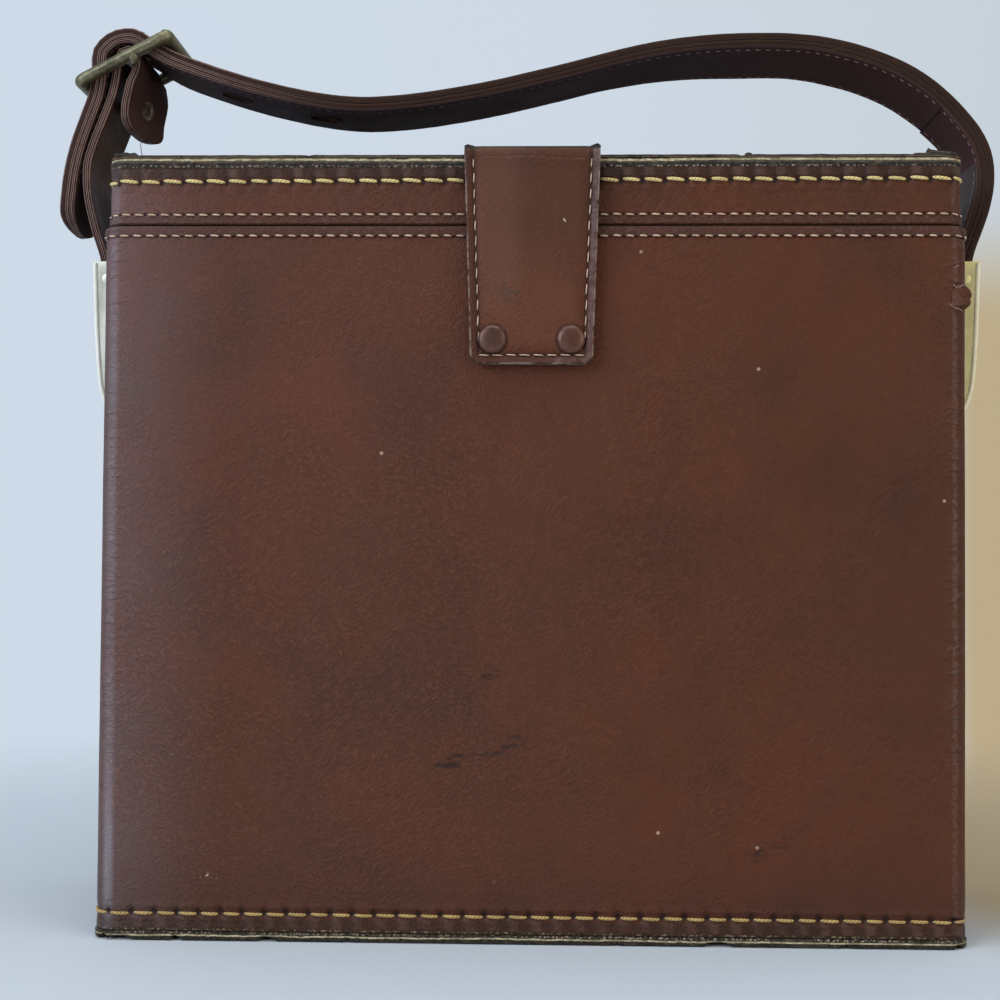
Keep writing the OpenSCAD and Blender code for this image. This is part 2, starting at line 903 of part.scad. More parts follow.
// Where the prong passes while it lifts
function turned(p, a) = [p[0] * cos(a) - p[1] * sin(a), p[0] * sin(a) + p[1] * cos(a)];
prong_room_l = buckle_half + 4;
prong_low = prong_rest - 2 * prong_r;
prong_high = prong_rest + 1.7 * prong_r;

module prong_room() {
    polygon([
        [0, prong_low - 1], [prong_room_l, prong_low],
        turned([prong_room_l, prong_high], prong_lift), turned([0, prong_high], prong_lift)
    ]);
}

module at_bar() {
    translate([bar_x, 0, bar_z]) rotate([0, -buckle_tilt, 0]) children();
}

// The strap is doubled from its right pin up to the end of its folded layer
fold_top_i = below(long_path, lid_top + rivet_up);
doubled = long_t / 2 + folded_t;
long_outline = concat(
    [for (i = [0 : long_end]) long_path[i] + long_t / 2 * beside(long_path, i)],
    [for (i = [long_end : -1 : fold_top_i]) long_path[i] - long_t / 2 * beside(long_path, i)],
    [for (i = [fold_top_i : -1 : 0]) long_path[i] - doubled * beside(long_path, i)],
    end_arc(long_path, long_t / 2, -doubled)
);

module long_strap() {
    color("#4b3129")
        difference() {
            across(strap_w)
                difference() {
                    polygon(long_outline);
                    translate([strap_pin_x, strap_pin_z]) circle(strap_pin_r + 0.05, $fn = fine);
                }
            for (k = [1, 2]) slot_through(long_path, crossing(long_path, hole_x + k * hole_pitch));
            slot_through(long_path, tail_hole_i);
            at_bar() across(prong_eye_w + 0.6) prong_room();
        }
}

// The short strap is doubled too, from its pin up to the mouth of its bracket. Its folded end turns
// round the centre bar and comes back down beside it.
short_doubled_i = below(short_path, pivot_z + bracket_up - 1);
short_side = short_t / 2;
short_inner = 1.6 * short_t;
short_outline = concat(
    [for (i = [0 : short_turn]) short_path[i] - short_side * beside(short_path, i)],
    [for (i = [short_turn : -1 : short_doubled_i])
        short_path[i] + short_side * beside(short_path, i)],
    [for (i = [short_doubled_i : -1 : 0]) short_path[i] + short_inner * beside(short_path, i)],
    end_arc(short_path, -short_side, short_inner)
);

module prong_slot() {
    at_bar()
        across(prong_eye_w + 1.2)
            union() {
                circle(fold_r + short_t, $fn = fine);
                prong_room();
            }
}

module strap_rivet_hole() {
    translate([rivet_from - side_x, 0, lid_top + rivet_up])
        rotate([0, 90, 0]) cylinder(r = strap_rivet_r, h = case_w, $fn = fine);
}

module short_strap() {
    color("#4b3129")
        difference() {
            across(strap_w)
                difference() {
                    polygon(short_outline);
                    translate([-strap_pin_x, strap_pin_z]) circle(strap_pin_r + 0.05, $fn = fine);
                }
            prong_slot();
            strap_rivet_hole();
        }
}

module short_strap_fold() {
    color("#4b3129")
        difference() {
            across(strap_w)
                polygon(ribbon(short_path, -short_side, short_side, short_turn, short_end));
            prong_slot();
            strap_rivet_hole();
        }
}

strap_rivet_r = 1.6;
rivet_from = -side_x - 6.1;
rivet_to = -side_x + 0.5;
rivet_head_r = 2.4;

module strap_rivet() {
    color("#4a423a")
        translate([rivet_from, 0, lid_top + rivet_up])
            rotate([0, 90, 0]) {
                cylinder(r = strap_rivet_r, h = rivet_to - rivet_from, $fn = fine);
                translate([0, 0, rivet_to - rivet_from - eps])
                    cylinder(r = rivet_head_r, h = 0.6, $fn = fine);
            }
}

// Buckle. Along its rails is X, and the centre bar lies on Y.

module cross_bar(x, r) {
    translate([x, rail_y, 0]) rotate([90, 0, 0]) cylinder(r = r, h = 2 * rail_y, $fn = fine);
}

module buckle_frame() {
    color("#6f6c4c")
        at_bar()
            union() {
                for (x = [-1, 0, 1]) cross_bar(x * buckle_half, bar_r);
                for (y = [-1, 1])
                    translate([-rail_half, y * rail_y, 0])
                        rotate([0, 90, 0]) cylinder(r = rail_r, h = 2 * rail_half, $fn = fine);
            }
}

module buckle_prong() {
    color("#7a7752")
        at_bar()
            difference() {
                union() {
                    translate([0, prong_eye_w / 2, 0])
                        rotate([90, 0, 0]) cylinder(r = prong_eye_r, h = prong_eye_w, $fn = fine);
                    translate([0, 0, prong_rest - prong_r / 2])
                        rotate([0, 90 - 2, 0]) cylinder(r = prong_r, h = buckle_half + 2, $fn = fine);
                }
                cross_bar(0, bar_r + run_gap);
            }
}

bottom_sole();
bottom_board();
front_board();
back_board();
left_board();
right_board();
body_cover();
mouth_binding();
mouth_collar();
body_lining();
floor_pad();
divider_board();
divider_sleeve();
hinge_leaf_body();
hinge_leaf_lid();
hinge_pin();
hinge_rivets_body();
hinge_rivets_lid();
lid_top_board();
lid_front_board();
lid_back_board();
lid_left_board();
lid_right_board();
lid_cover();
lid_rim();
lid_top_skin();
lid_lining();
lid_pad();
tab_anchor();
tab_flap();
tab_facing();
tab_backing();
tab_keeper();
tab_rivets();
catch_cup();
catch_magnet();
catch_rivet();
left_backing();
right_backing();
left_stud();
right_stud();
left_bracket();
right_bracket();
strap_pins();
long_strap();
short_strap();
short_strap_fold();
strap_rivet();
buckle_frame();
buckle_prong();
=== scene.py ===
import math

import bmesh
import bpy
import numpy as np
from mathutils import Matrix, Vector, noise


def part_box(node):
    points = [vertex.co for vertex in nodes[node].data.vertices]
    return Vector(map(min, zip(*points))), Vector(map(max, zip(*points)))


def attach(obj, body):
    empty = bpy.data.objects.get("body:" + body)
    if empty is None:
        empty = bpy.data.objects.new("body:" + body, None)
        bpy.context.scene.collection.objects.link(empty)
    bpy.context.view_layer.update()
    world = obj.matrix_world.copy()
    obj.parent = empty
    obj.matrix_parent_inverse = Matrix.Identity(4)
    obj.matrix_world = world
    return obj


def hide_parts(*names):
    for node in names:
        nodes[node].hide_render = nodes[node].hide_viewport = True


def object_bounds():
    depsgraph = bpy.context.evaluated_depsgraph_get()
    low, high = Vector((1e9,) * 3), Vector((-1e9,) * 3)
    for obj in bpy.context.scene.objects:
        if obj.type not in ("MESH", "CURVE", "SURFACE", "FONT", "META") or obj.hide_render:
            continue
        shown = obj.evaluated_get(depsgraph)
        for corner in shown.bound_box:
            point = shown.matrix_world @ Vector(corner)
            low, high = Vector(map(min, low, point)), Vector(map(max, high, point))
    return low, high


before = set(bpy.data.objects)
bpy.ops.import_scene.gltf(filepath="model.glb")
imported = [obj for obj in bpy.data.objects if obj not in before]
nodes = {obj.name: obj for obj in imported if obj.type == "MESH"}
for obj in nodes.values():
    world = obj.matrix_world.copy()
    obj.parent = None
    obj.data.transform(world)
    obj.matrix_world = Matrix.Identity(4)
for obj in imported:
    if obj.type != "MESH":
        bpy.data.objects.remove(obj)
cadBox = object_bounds()
scene = bpy.context.scene
mm = 0.001


# camera, floor and light

camera = {"place": (5.0, -479.6, 109.6), "turn": -1.736, "rise": 1.14, "roll": 0.29, "zoom": 1639.7}


def addCamera(c):
    data = bpy.data.cameras.new("camera")
    data.sensor_width = 36
    data.lens = c["zoom"] / 1000 * 36
    data.clip_start, data.clip_end = 0.01, 50
    obj = bpy.data.objects.new("camera", data)
    obj.location = [v * mm for v in c["place"]]
    turn, rise = math.radians(c["turn"]), math.radians(c["rise"])
    ahead = Vector((math.sin(turn) * math.cos(rise), math.cos(turn) * math.cos(rise), math.sin(rise)))
    obj.rotation_euler = ahead.to_track_quat("-Z", "Y").to_euler()
    obj.rotation_euler.rotate_axis("Z", math.radians(c["roll"]))
    scene.collection.objects.link(obj)
    scene.camera = obj


def tone(r, g, b):
    # a colour as a paint chart gives it, 0 to 255
    return [((v / 255 + 0.055) / 1.055) ** 2.4 if v > 10.3 else v / 255 / 12.92 for v in (r, g, b)] + [1]


class Link:
    # a socket that can be used in sums
    def __init__(self, finish, socket):
        self.finish, self.socket = finish, socket

    def __add__(self, other):
        return self.finish.calc("ADD", self, other)

    def __sub__(self, other):
        return self.finish.calc("SUBTRACT", self, other)

    def __rsub__(self, other):
        return self.finish.calc("SUBTRACT", other, self)

    def __mul__(self, other):
        return self.finish.calc("MULTIPLY", self, other)

    def __truediv__(self, other):
        return self.finish.calc("DIVIDE", self, other)

    def __pow__(self, other):
        return self.finish.calc("POWER", self, other)

    def __abs__(self):
        return self.finish.calc("ABSOLUTE", self)

    __radd__ = __add__
    __rmul__ = __mul__


class Finish:
    # one material and the nodes that make it
    def __init__(self, name, world=None):
        owner = world or bpy.data.materials.new(name)
        owner.use_nodes = True
        self.material, self.tree = owner, owner.node_tree
        self.tree.nodes.clear()
        self.out = self.tree.nodes.new("ShaderNodeOutputWorld" if world else "ShaderNodeOutputMaterial")

    def plug(self, socket, value):
        if isinstance(value, Link):
            self.tree.links.new(value.socket, socket)
        else:
            socket.default_value = value

    def node(self, kind, settings=None, inputs=None, out=0):
        made = self.tree.nodes.new("ShaderNode" + kind)
        for key, value in (settings or {}).items():
            if key == "stops":
                ramp = made.color_ramp
                while len(ramp.elements) < len(value):
                    ramp.elements.new(0.5)
                for stop, (at, colour) in zip(ramp.elements, value):
                    stop.position, stop.color = at, colour
            else:
                setattr(made, key, value)
        for key, value in (inputs or {}).items():
            self.plug(made.inputs[key], value)
        return Link(self, made.outputs[out])

    def calc(self, operation, *values):
        return self.node("Math", {"operation": operation}, dict(enumerate(values)))

    def place(self):
        return self.node("TexCoord", out="Object")

    def parts(self, vector):
        made = self.tree.nodes.new("ShaderNodeSeparateXYZ")
        self.plug(made.inputs[0], vector)
        return [Link(self, o) for o in made.outputs]

    def stretched(self, vector, scale, move=(0, 0, 0)):
        return self.node("Mapping", inputs={"Vector": vector, "Scale": scale, "Location": move})

    def noise(self, scale, detail=3, rough=0.55, twist=0, at=None):
        return self.node("TexNoise", inputs={
            "Vector": at or self.place(), "Scale": scale, "Detail": detail, "Roughness": rough,
            "Distortion": twist})

    def ridges(self, scale, detail=3, rough=0.7, twist=0, at=None):
        return self.node("TexNoise", {"noise_type": "RIDGED_MULTIFRACTAL"}, {
            "Vector": at or self.place(), "Scale": scale, "Detail": detail, "Roughness": rough, "Lacunarity": 2.1,
            "Offset": 0.85, "Gain": 1.6, "Distortion": twist})

    def cells(self, scale, feature="F1", at=None, random=1, out="Distance"):
        return self.node("TexVoronoi", {"feature": feature}, {
            "Vector": at or self.place(), "Scale": scale, "Randomness": random}, out=out)

    def ease(self, value, low, high, start=0, end=1):
        # a soft step from start to end as value goes from low to high
        return self.node("MapRange", {"interpolation_type": "SMOOTHSTEP"}, {
            "Value": value, "From Min": low, "From Max": high, "To Min": start, "To Max": end})

    def band(self, value, middle, half, soft):
        # 1 within half of the middle, fading out over soft
        return self.ease(abs(value - middle), half + soft, half)

    def mix(self, share, first, second, blend="MIX"):
        made = self.tree.nodes.new("ShaderNodeMix")
        made.data_type, made.blend_type = "RGBA", blend
        self.plug(made.inputs[0], share)
        for key, colour in ((6, first), (7, second)):
            self.plug(made.inputs[key], colour if isinstance(colour, Link) else tone(*colour))
        return Link(self, made.outputs[2])

    def bump(self, height, depth, strength=1, normal=None):
        inputs = {"Height": height, "Distance": depth, "Strength": strength}
        if normal:
            inputs["Normal"] = normal
        return self.node("Bump", inputs=inputs)

    def mark(self, name):
        return self.node("Attribute", {"attribute_name": name}, out="Fac")

    def shade(self, colour, rough, normal=None, **constants):
        made = self.tree.nodes.new("ShaderNodeBsdfPrincipled")
        self.plug(made.inputs["Base Color"], colour)
        self.plug(made.inputs["Roughness"], rough)
        if normal:
            self.plug(made.inputs["Normal"], normal)
        for key, value in constants.items():
            self.plug(made.inputs[key.replace("_", " ")], value)
        self.tree.links.new(made.outputs[0], self.out.inputs[0])
        return self.material


room = {
    "left": (206, 218, 232), "middle": (206, 217, 229), "right": (200, 209, 217), "warm": (188, 171, 138),
    "floor": (200, 210, 217), "fill": 0.42,
}


def addRoom(r):
    # what the camera sees behind the object is paler than what lights it
    world = bpy.data.worlds.new("room")
    scene.world = world
    f = Finish("room", world)
    x, y, z = f.parts(f.node("TexCoord", out="Generated"))
    across = f.node("ValToRGB", {"stops": [
        (0.36, tone(*r["left"])), (0.5, tone(*r["middle"])), (0.63, tone(*r["right"]))]},
        {"Fac": x * 0.5 + 0.5})
    # a warm patch low on the right beside the case: painted bounce light and shadow from the case
    beside = f.ease(x, 0.222, 0.25) * f.ease(z, 0.2, 0.12) * f.ease(y, 0.3, 0.8)
    across = f.mix(beside, across, r["warm"])
    seen = f.node("LightPath", out="Is Camera Ray")
    glossy = f.node("LightPath", out="Is Glossy Ray")
    through = f.node("LightPath", out="Is Transmission Ray")
    pale = f.calc("MAXIMUM", seen, through)
    lit = f.node("Background", inputs={"Color": tone(238, 241, 247), "Strength": r["fill"]})
    shown = f.node("Background", inputs={"Color": across, "Strength": 1.0})
    mirrored = f.node("Background", inputs={"Color": across, "Strength": f.ease(y, -0.95, -0.3, 0.22, 0.62)})
    first = f.node("MixShader", inputs={0: glossy, 1: lit, 2: mirrored})
    last = f.node("MixShader", inputs={0: pale, 1: first, 2: shown})
    f.tree.links.new(last.socket, f.out.inputs[0])


def addLamp(name, place, aim, size, power, colour):
    data = bpy.data.lights.new(name, "AREA")
    data.shape, data.size, data.size_y = "RECTANGLE", size[0], size[1]
    data.energy, data.color = power, tone(*colour)[:3]
    obj = bpy.data.objects.new(name, data)
    obj.location = place
    obj.rotation_euler = (Vector(aim) - Vector(place)).to_track_quat("-Z", "Y").to_euler()
    scene.collection.objects.link(obj)


def addFloor(r):
    mesh = bpy.data.meshes.new("floor")
    build = bmesh.new()
    bmesh.ops.create_grid(build, x_segments=8, y_segments=8, size=4)
    build.to_mesh(mesh)
    build.free()
    floor = bpy.data.objects.new("floor", mesh)
    floor.location.z = cadBox[0][2] - 0.0001
    scene.collection.objects.link(floor)
    f = Finish("floor")
    x, y = f.parts(f.place())[:2]
    cloudy = f.noise(3.0, 2)
    colour = f.mix(cloudy, r["floor"], [v - 8 for v in r["floor"]])
    # a warm tint on the floor beside the case's right side: painted bounce light and shadow from the case
    warm = f.ease(x, 0.10, 0.14) * f.ease(y, -0.06, 0.02)
    colour = f.mix(warm, colour, [v - 8 for v in r["warm"]])
    near = f.shade(colour, 0.8)
    solid = f.out.inputs[0].links[0].from_socket
    # further off, the floor gives way to the room's own pale colour
    reach = f.node("VectorMath", {"operation": "LENGTH"}, {0: f.place()}, out="Value")
    away = f.ease(reach, 0.2, 0.5) * f.node("LightPath", out="Is Camera Ray")
    clear = f.node("BsdfTransparent")
    last = f.node("MixShader", inputs={0: away, 1: Link(f, solid), 2: clear})
    f.tree.links.new(last.socket, f.out.inputs[0])
    floor.data.materials.append(near)


addCamera(camera)
addRoom(room)
addFloor(room)
addLamp("window", (-1.15, -1.05, 0.75), (0, 0, 0.1), (1.3, 1.1), 21, (228, 237, 252))
addLamp("fill", (1.2, -1.1, 0.5), (0, 0, 0.1), (1.2, 1.0), 8, (255, 236, 206))
addLamp("above", (0, -0.3, 1.5), (0, 0, 0.1), (1.4, 1.2), 12, (244, 247, 252))
scene.view_settings.view_transform = "Standard"
print("camera, room and lamps are in place")


# sizes taken from the frame

bodyLow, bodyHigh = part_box("body_cover")
lidLow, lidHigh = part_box("lid_cover")
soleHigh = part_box("bottom_sole")[1]
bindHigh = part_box("mouth_binding")[1]
rimLow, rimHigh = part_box("lid_rim")
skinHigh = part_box("lid_top_skin")[1]
caseW, caseD = bodyHigh.x - bodyLow.x, bodyHigh.y - bodyLow.y
lidW, lidD = lidHigh.x - lidLow.x, lidHigh.y - lidLow.y
lidY = (lidHigh.y + lidLow.y) / 2
proud = soleHigh.x - bodyHigh.x
cornerR = 6 * mm
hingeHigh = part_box("hinge_pin")[1]
hingeZ = (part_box("hinge_pin")[0].z + hingeHigh.z) / 2
hingeY = (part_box("hinge_pin")[0].y + hingeHigh.y) / 2


# shapes

def inMm(rows):
    # a table written in millimetres
    return [tuple(v * mm for v in row) for row in rows]


def read(pairs, v):
    # the value at v of a line given by (place, value) pairs
    return float(np.interp(v, [a for a, _ in pairs], [b for _, b in pairs]))


def rowOf(first, last, step):
    count = max(1, round(abs(last - first) / step))
    return [first + (last - first) * i / count for i in range(count + 1)]


def roundedPlan(w, d, r, step=4 * mm, turns=6, middleY=0):
    # points (x, y, nx, ny, run) round a rounded rectangle, from the middle of the front towards +X
    points = [(0, -d / 2, 0, -1)]
    x, y = w / 2 - r, d / 2 - r
    sides = [((0, -d / 2), (x, -d / 2), (0, -1)), ((w / 2, -y), (w / 2, y), (1, 0)),
             ((x, d / 2), (-x, d / 2), (0, 1)), ((-w / 2, y), (-w / 2, -y), (-1, 0)),
             ((-x, -d / 2), (0, -d / 2), (0, -1))]
    corners = [(x, -y, -90), (x, y, 0), (-x, y, 90), (-x, -y, 180)]
    for i, (a, b, n) in enumerate(sides):
        count = max(1, round(math.dist(a, b) / step))
        points += [(a[0] + (b[0] - a[0]) * k / count, a[1] + (b[1] - a[1]) * k / count, *n)
                   for k in range(1, count + 1)]
        if i < 4:
            cx, cy, start = corners[i]
            for k in range(1, turns + 1):
                a = math.radians(start + 90 * k / turns)
                points.append((cx + r * math.cos(a), cy + r * math.sin(a), math.cos(a), math.sin(a)))
    run, found = 0, []
    for i, p in enumerate(points):
        if i:
            run += math.dist(p[:2], points[i - 1][:2])
        found.append((p[0], p[1] + middleY, p[2], p[3], run))
    return found


def makePiece(name, points, faces, body, stands=(), slot=None, material=None, uv=None, wear=None,
              sharp=35, smooth=True):
    mesh = bpy.data.meshes.new(name)
    mesh.from_pydata([tuple(p) for p in points], [], faces)
    if uv is not None:
        layer = mesh.uv_layers.new(name="UVMap")
        for loop in mesh.loops:
            layer.data[loop.index].uv = uv[loop.vertex_index] if len(uv) == len(points) else uv[loop.index]
    if wear is not None:
        layer = mesh.attributes.new("wear", "FLOAT", "POINT")
        layer.data.foreach_set("value", np.array(wear, np.float32))
    build = bmesh.new()
    build.from_mesh(mesh)
    bmesh.ops.remove_doubles(build, verts=build.verts, dist=0.002 * mm)
    bmesh.ops.recalc_face_normals(build, faces=build.faces)
    build.to_mesh(mesh)
    build.free()
    obj = bpy.data.objects.new(name, mesh)
    scene.collection.objects.link(obj)
    if smooth:
        mesh.shade_smooth()
        mesh.set_sharp_from_angle(angle=math.radians(sharp))
    return place(obj, body, stands, slot, material)


def place(obj, body, stands=(), slot=None, material=None):
    if material:
        obj.data.materials.clear()
        obj.data.materials.append(material)
    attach(obj, body)
    if stands:
        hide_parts(*stands)
    return obj


def carve(obj, cutter, how="DIFFERENCE"):
    # cuts with another mesh, and keeps the result as plain mesh
    step = obj.modifiers.new("cut", "BOOLEAN")
    step.operation, step.object, step.solver = how, cutter, "EXACT"
    settle(obj)
    bpy.data.objects.remove(cutter)


def settle(obj):
    bpy.context.view_layer.update()
    done = bpy.data.meshes.new_from_object(obj.evaluated_get(bpy.context.evaluated_depsgraph_get()))
    obj.modifiers.clear()
    obj.data = done


def tool(points, faces):
    mesh = bpy.data.meshes.new("tool")
    mesh.from_pydata([tuple(p) for p in points], [], faces)
    build = bmesh.new()
    build.from_mesh(mesh)
    bmesh.ops.recalc_face_normals(build, faces=build.faces)
    build.to_mesh(mesh)
    build.free()
    obj = bpy.data.objects.new("tool", mesh)
    scene.collection.objects.link(obj)
    return obj


def ringFaces(rings, sides, closed=False, caps=True, start=0):
    # faces of a stack of rings of points, its ends capped, or joined to each other
    faces = []
    for j in range(rings if closed else rings - 1):
        a, b = start + j * sides, start + (j + 1) % rings * sides
        faces += [(a + i, a + (i + 1) % sides, b + (i + 1) % sides, b + i) for i in range(sides)]
    if caps and not closed:
        last = start + (rings - 1) * sides
        faces += [tuple(range(start, start + sides)), tuple(range(last, last + sides))]
    return faces


def sheetFaces(deep, across):
    # faces of two layers of a grid of points, joined all round
    size, faces = deep * across, []
    for j in range(deep - 1):
        for i in range(across - 1):
            a = j * across + i
            faces += [(a, a + 1, a + across + 1, a + across),
                      (size + a, size + a + across, size + a + across + 1, size + a + 1)]
    edges = [(a, 1) for i in range(across - 1) for a in (i, (deep - 1) * across + i)]
    edges += [(a, across) for j in range(deep - 1) for a in (j * across, (j + 1) * across - 1)]
    return faces + [(a, a + step, size + a + step, size + a) for a, step in edges]


def swept(plan, profile, change=None):
    # the points and the uv of a profile of (out, z) carried round a plan, which change(...) may move
    points, uv = [], []
    for out, z in profile:
        for x, y, nx, ny, run in plan[:-1]:
            dx, dz = change(x, y, ny, run, out, z) if change else (0, 0)
            points.append((x + nx * (out + dx), y + ny * (out + dx), z + dz))
            uv.append((run, z))
    return points, uv


def wall(name, plan, profile, change=None, **more):
    # a closed profile of (out, z) swept all round a plan, its uv the run round the case and the height
    around, full = len(plan) - 1, plan[-1][4]
    points, uv = swept(plan, profile, change)
    faces = ringFaces(len(profile), around, closed=True)
    corners = []
    for face in faces:
        for v in face:
            u, h = uv[v]
            if u == 0 and face[1] % around == 0:
                u = full if v % around == 0 else u
            corners.append((u, h))
    return makePiece(name, points, faces, uv=corners, **more)


def turned(name, outline, centre, axis, body, sides=40, **more):
    # an outline of (radius, along) turned round an axis
    along = Vector(axis).normalized()
    side = along.orthogonal().normalized()
    other = along.cross(side)
    points = []
    for r, a in outline:
        for i in range(sides):
            t = 2 * math.pi * i / sides
            points.append(Vector(centre) + along * a + (side * math.cos(t) + other * math.sin(t)) * r)
    faces = ringFaces(len(outline), sides, caps=False)
    for ring in (0, len(outline) - 1):
        if outline[ring][0] > 1e-6 and outline[0] != outline[-1]:
            faces.append(tuple(range(ring * sides, (ring + 1) * sides)))
    return makePiece(name, points, faces, body, **more)


def refined(name, cadNodes, body, width, steps=2, slot=None, material=None, angle=30, sharp=35, merge=True):
    # the frame's own solids with their edges rounded
    build = bmesh.new()
    for n in cadNodes:
        build.from_mesh(nodes[n].data)
    bmesh.ops.remove_doubles(build, verts=build.verts, dist=0.001 * mm)
    if merge:
        bmesh.ops.dissolve_limit(build, angle_limit=math.radians(1), verts=build.verts, edges=build.edges)
    mesh = bpy.data.meshes.new(name)
    build.to_mesh(mesh)
    build.free()
    obj = bpy.data.objects.new(name, mesh)
    scene.collection.objects.link(obj)
    bevel = obj.modifiers.new("edges", "BEVEL")
    bevel.width, bevel.segments, bevel.limit_method = width, steps, "ANGLE"
    bevel.angle_limit, bevel.use_clamp_overlap, bevel.miter_outer = math.radians(angle), True, "MITER_ARC"
    settle(obj)
    obj.data.shade_smooth()
    obj.data.set_sharp_from_angle(angle=math.radians(sharp))
    return place(obj, body, cadNodes, slot, material)


def stitchRow(name, spots, s, body, material, slot="leatherette"):
    # spots are (point, direction, outward); each stitch is a twisted grain of thread laid along its spot
    points, faces, uv = [], [], []
    rings, sides = s.get("rings", 9), s.get("sides", 8)
    for number, (p, along, out) in enumerate(spots):
        along, out = Vector(along).normalized(), Vector(out).normalized()
        across = out.cross(along).normalized()
        lean = s.get("lean", 0) * (1 + 0.5 * noise.noise((number * 0.7, 3.1, 0)))
        size = 1 + s.get("uneven", 0.12) * noise.noise((number * 1.3, 0.4, 7))
        shift = s.get("stray", 0) * noise.noise((number * 0.9, 8.2, 1))
        start = len(points)
        for i in range(rings):
            t = i / (rings - 1) * 2 - 1
            swell = max(0.0, 1 - abs(t) ** 2.6) ** 0.5 * 0.9 + 0.1 * (abs(t) < 0.999)
            arch = s["arch"] * (1 - t * t) - s["dip"] * t * t
            middle = Vector(p) + along * t * s["length"] / 2 * size + out * arch
            middle += across * (lean * t + shift)
            for k in range(sides):
                a = 2 * math.pi * k / sides
                points.append(middle + across * math.cos(a) * s["width"] / 2 * swell
                              + out * math.sin(a) * s["thick"] / 2 * swell)
                uv.append((t * s["length"] / 2 + number * 0.01, k / sides))
        faces += ringFaces(rings, sides, start=start)
    return makePiece(name, points, faces, body, uv=uv, material=material, slot=slot, sharp=80)


def spotsRound(plan, z, pitch, proudBy=0, skip=None):
    # places for stitches at one height all round a plan
    full = plan[-1][4]
    count = round(full / pitch)
    found, j = [], 0
    for i in range(count):
        run = full * (i + 0.5) / count
        while plan[j + 1][4] < run:
            j += 1
        a, b = plan[j], plan[j + 1]
        t = (run - a[4]) / (b[4] - a[4])
        x, y, nx, ny = [a[k] + (b[k] - a[k]) * t for k in range(4)]
        if skip and skip(x, y):
            continue
        found.append(((x + nx * proudBy, y + ny * proudBy, z), (-ny, nx, 0), (nx, ny, 0)))
    return found


# finishes

hide = {
    "dark": (55, 30, 18), "brown": (77, 40, 21), "red": (87, 42, 22), "grey": (75, 44, 27),
    "pale": (118, 72, 45), "bloom": (148, 141, 148), "furrowShade": (46, 27, 20), "pore": (46, 28, 21),
    "fold": (118, 92, 84), "paintedShade": (42, 27, 15), "rubbedEdgeHighlight": (134, 116, 108), "tint": (38, 26, 22),
    "hole": (20, 12, 10), "dent": (40, 26, 20), "strip": (32, 22, 17), "lobe": (128, 96, 82),
    "binding": (66, 48, 42), "bindingFleck": (104, 82, 72),
    "grain": 900, "wrinkle": 1000, "crestRubAndHighlight": 0.24, "rough": 0.53,
}


def rowMarks(f, along, height, z, pitch, wide=0.8 * mm, tall=0.7 * mm):
    # holes between stitches: 1 in each hole, and the wider soft dent round it
    phase = f.calc("FRACT", along * (1 / pitch))
    edge = f.calc("MINIMUM", phase, 1 - phase) * pitch
    up = abs(height - z)
    hole = f.ease(edge * (1 / wide) + up * (1 / tall), 1.0, 0.45)
    dent = f.ease(edge * (0.5 / wide) + up * (0.45 / tall), 1.0, 0.1)
    pleat = f.ease(edge * (1 / pitch), 0.02, 0.34) * f.ease(up * (1 / tall), 3.4, 0.9)
    return hole, dent, pleat


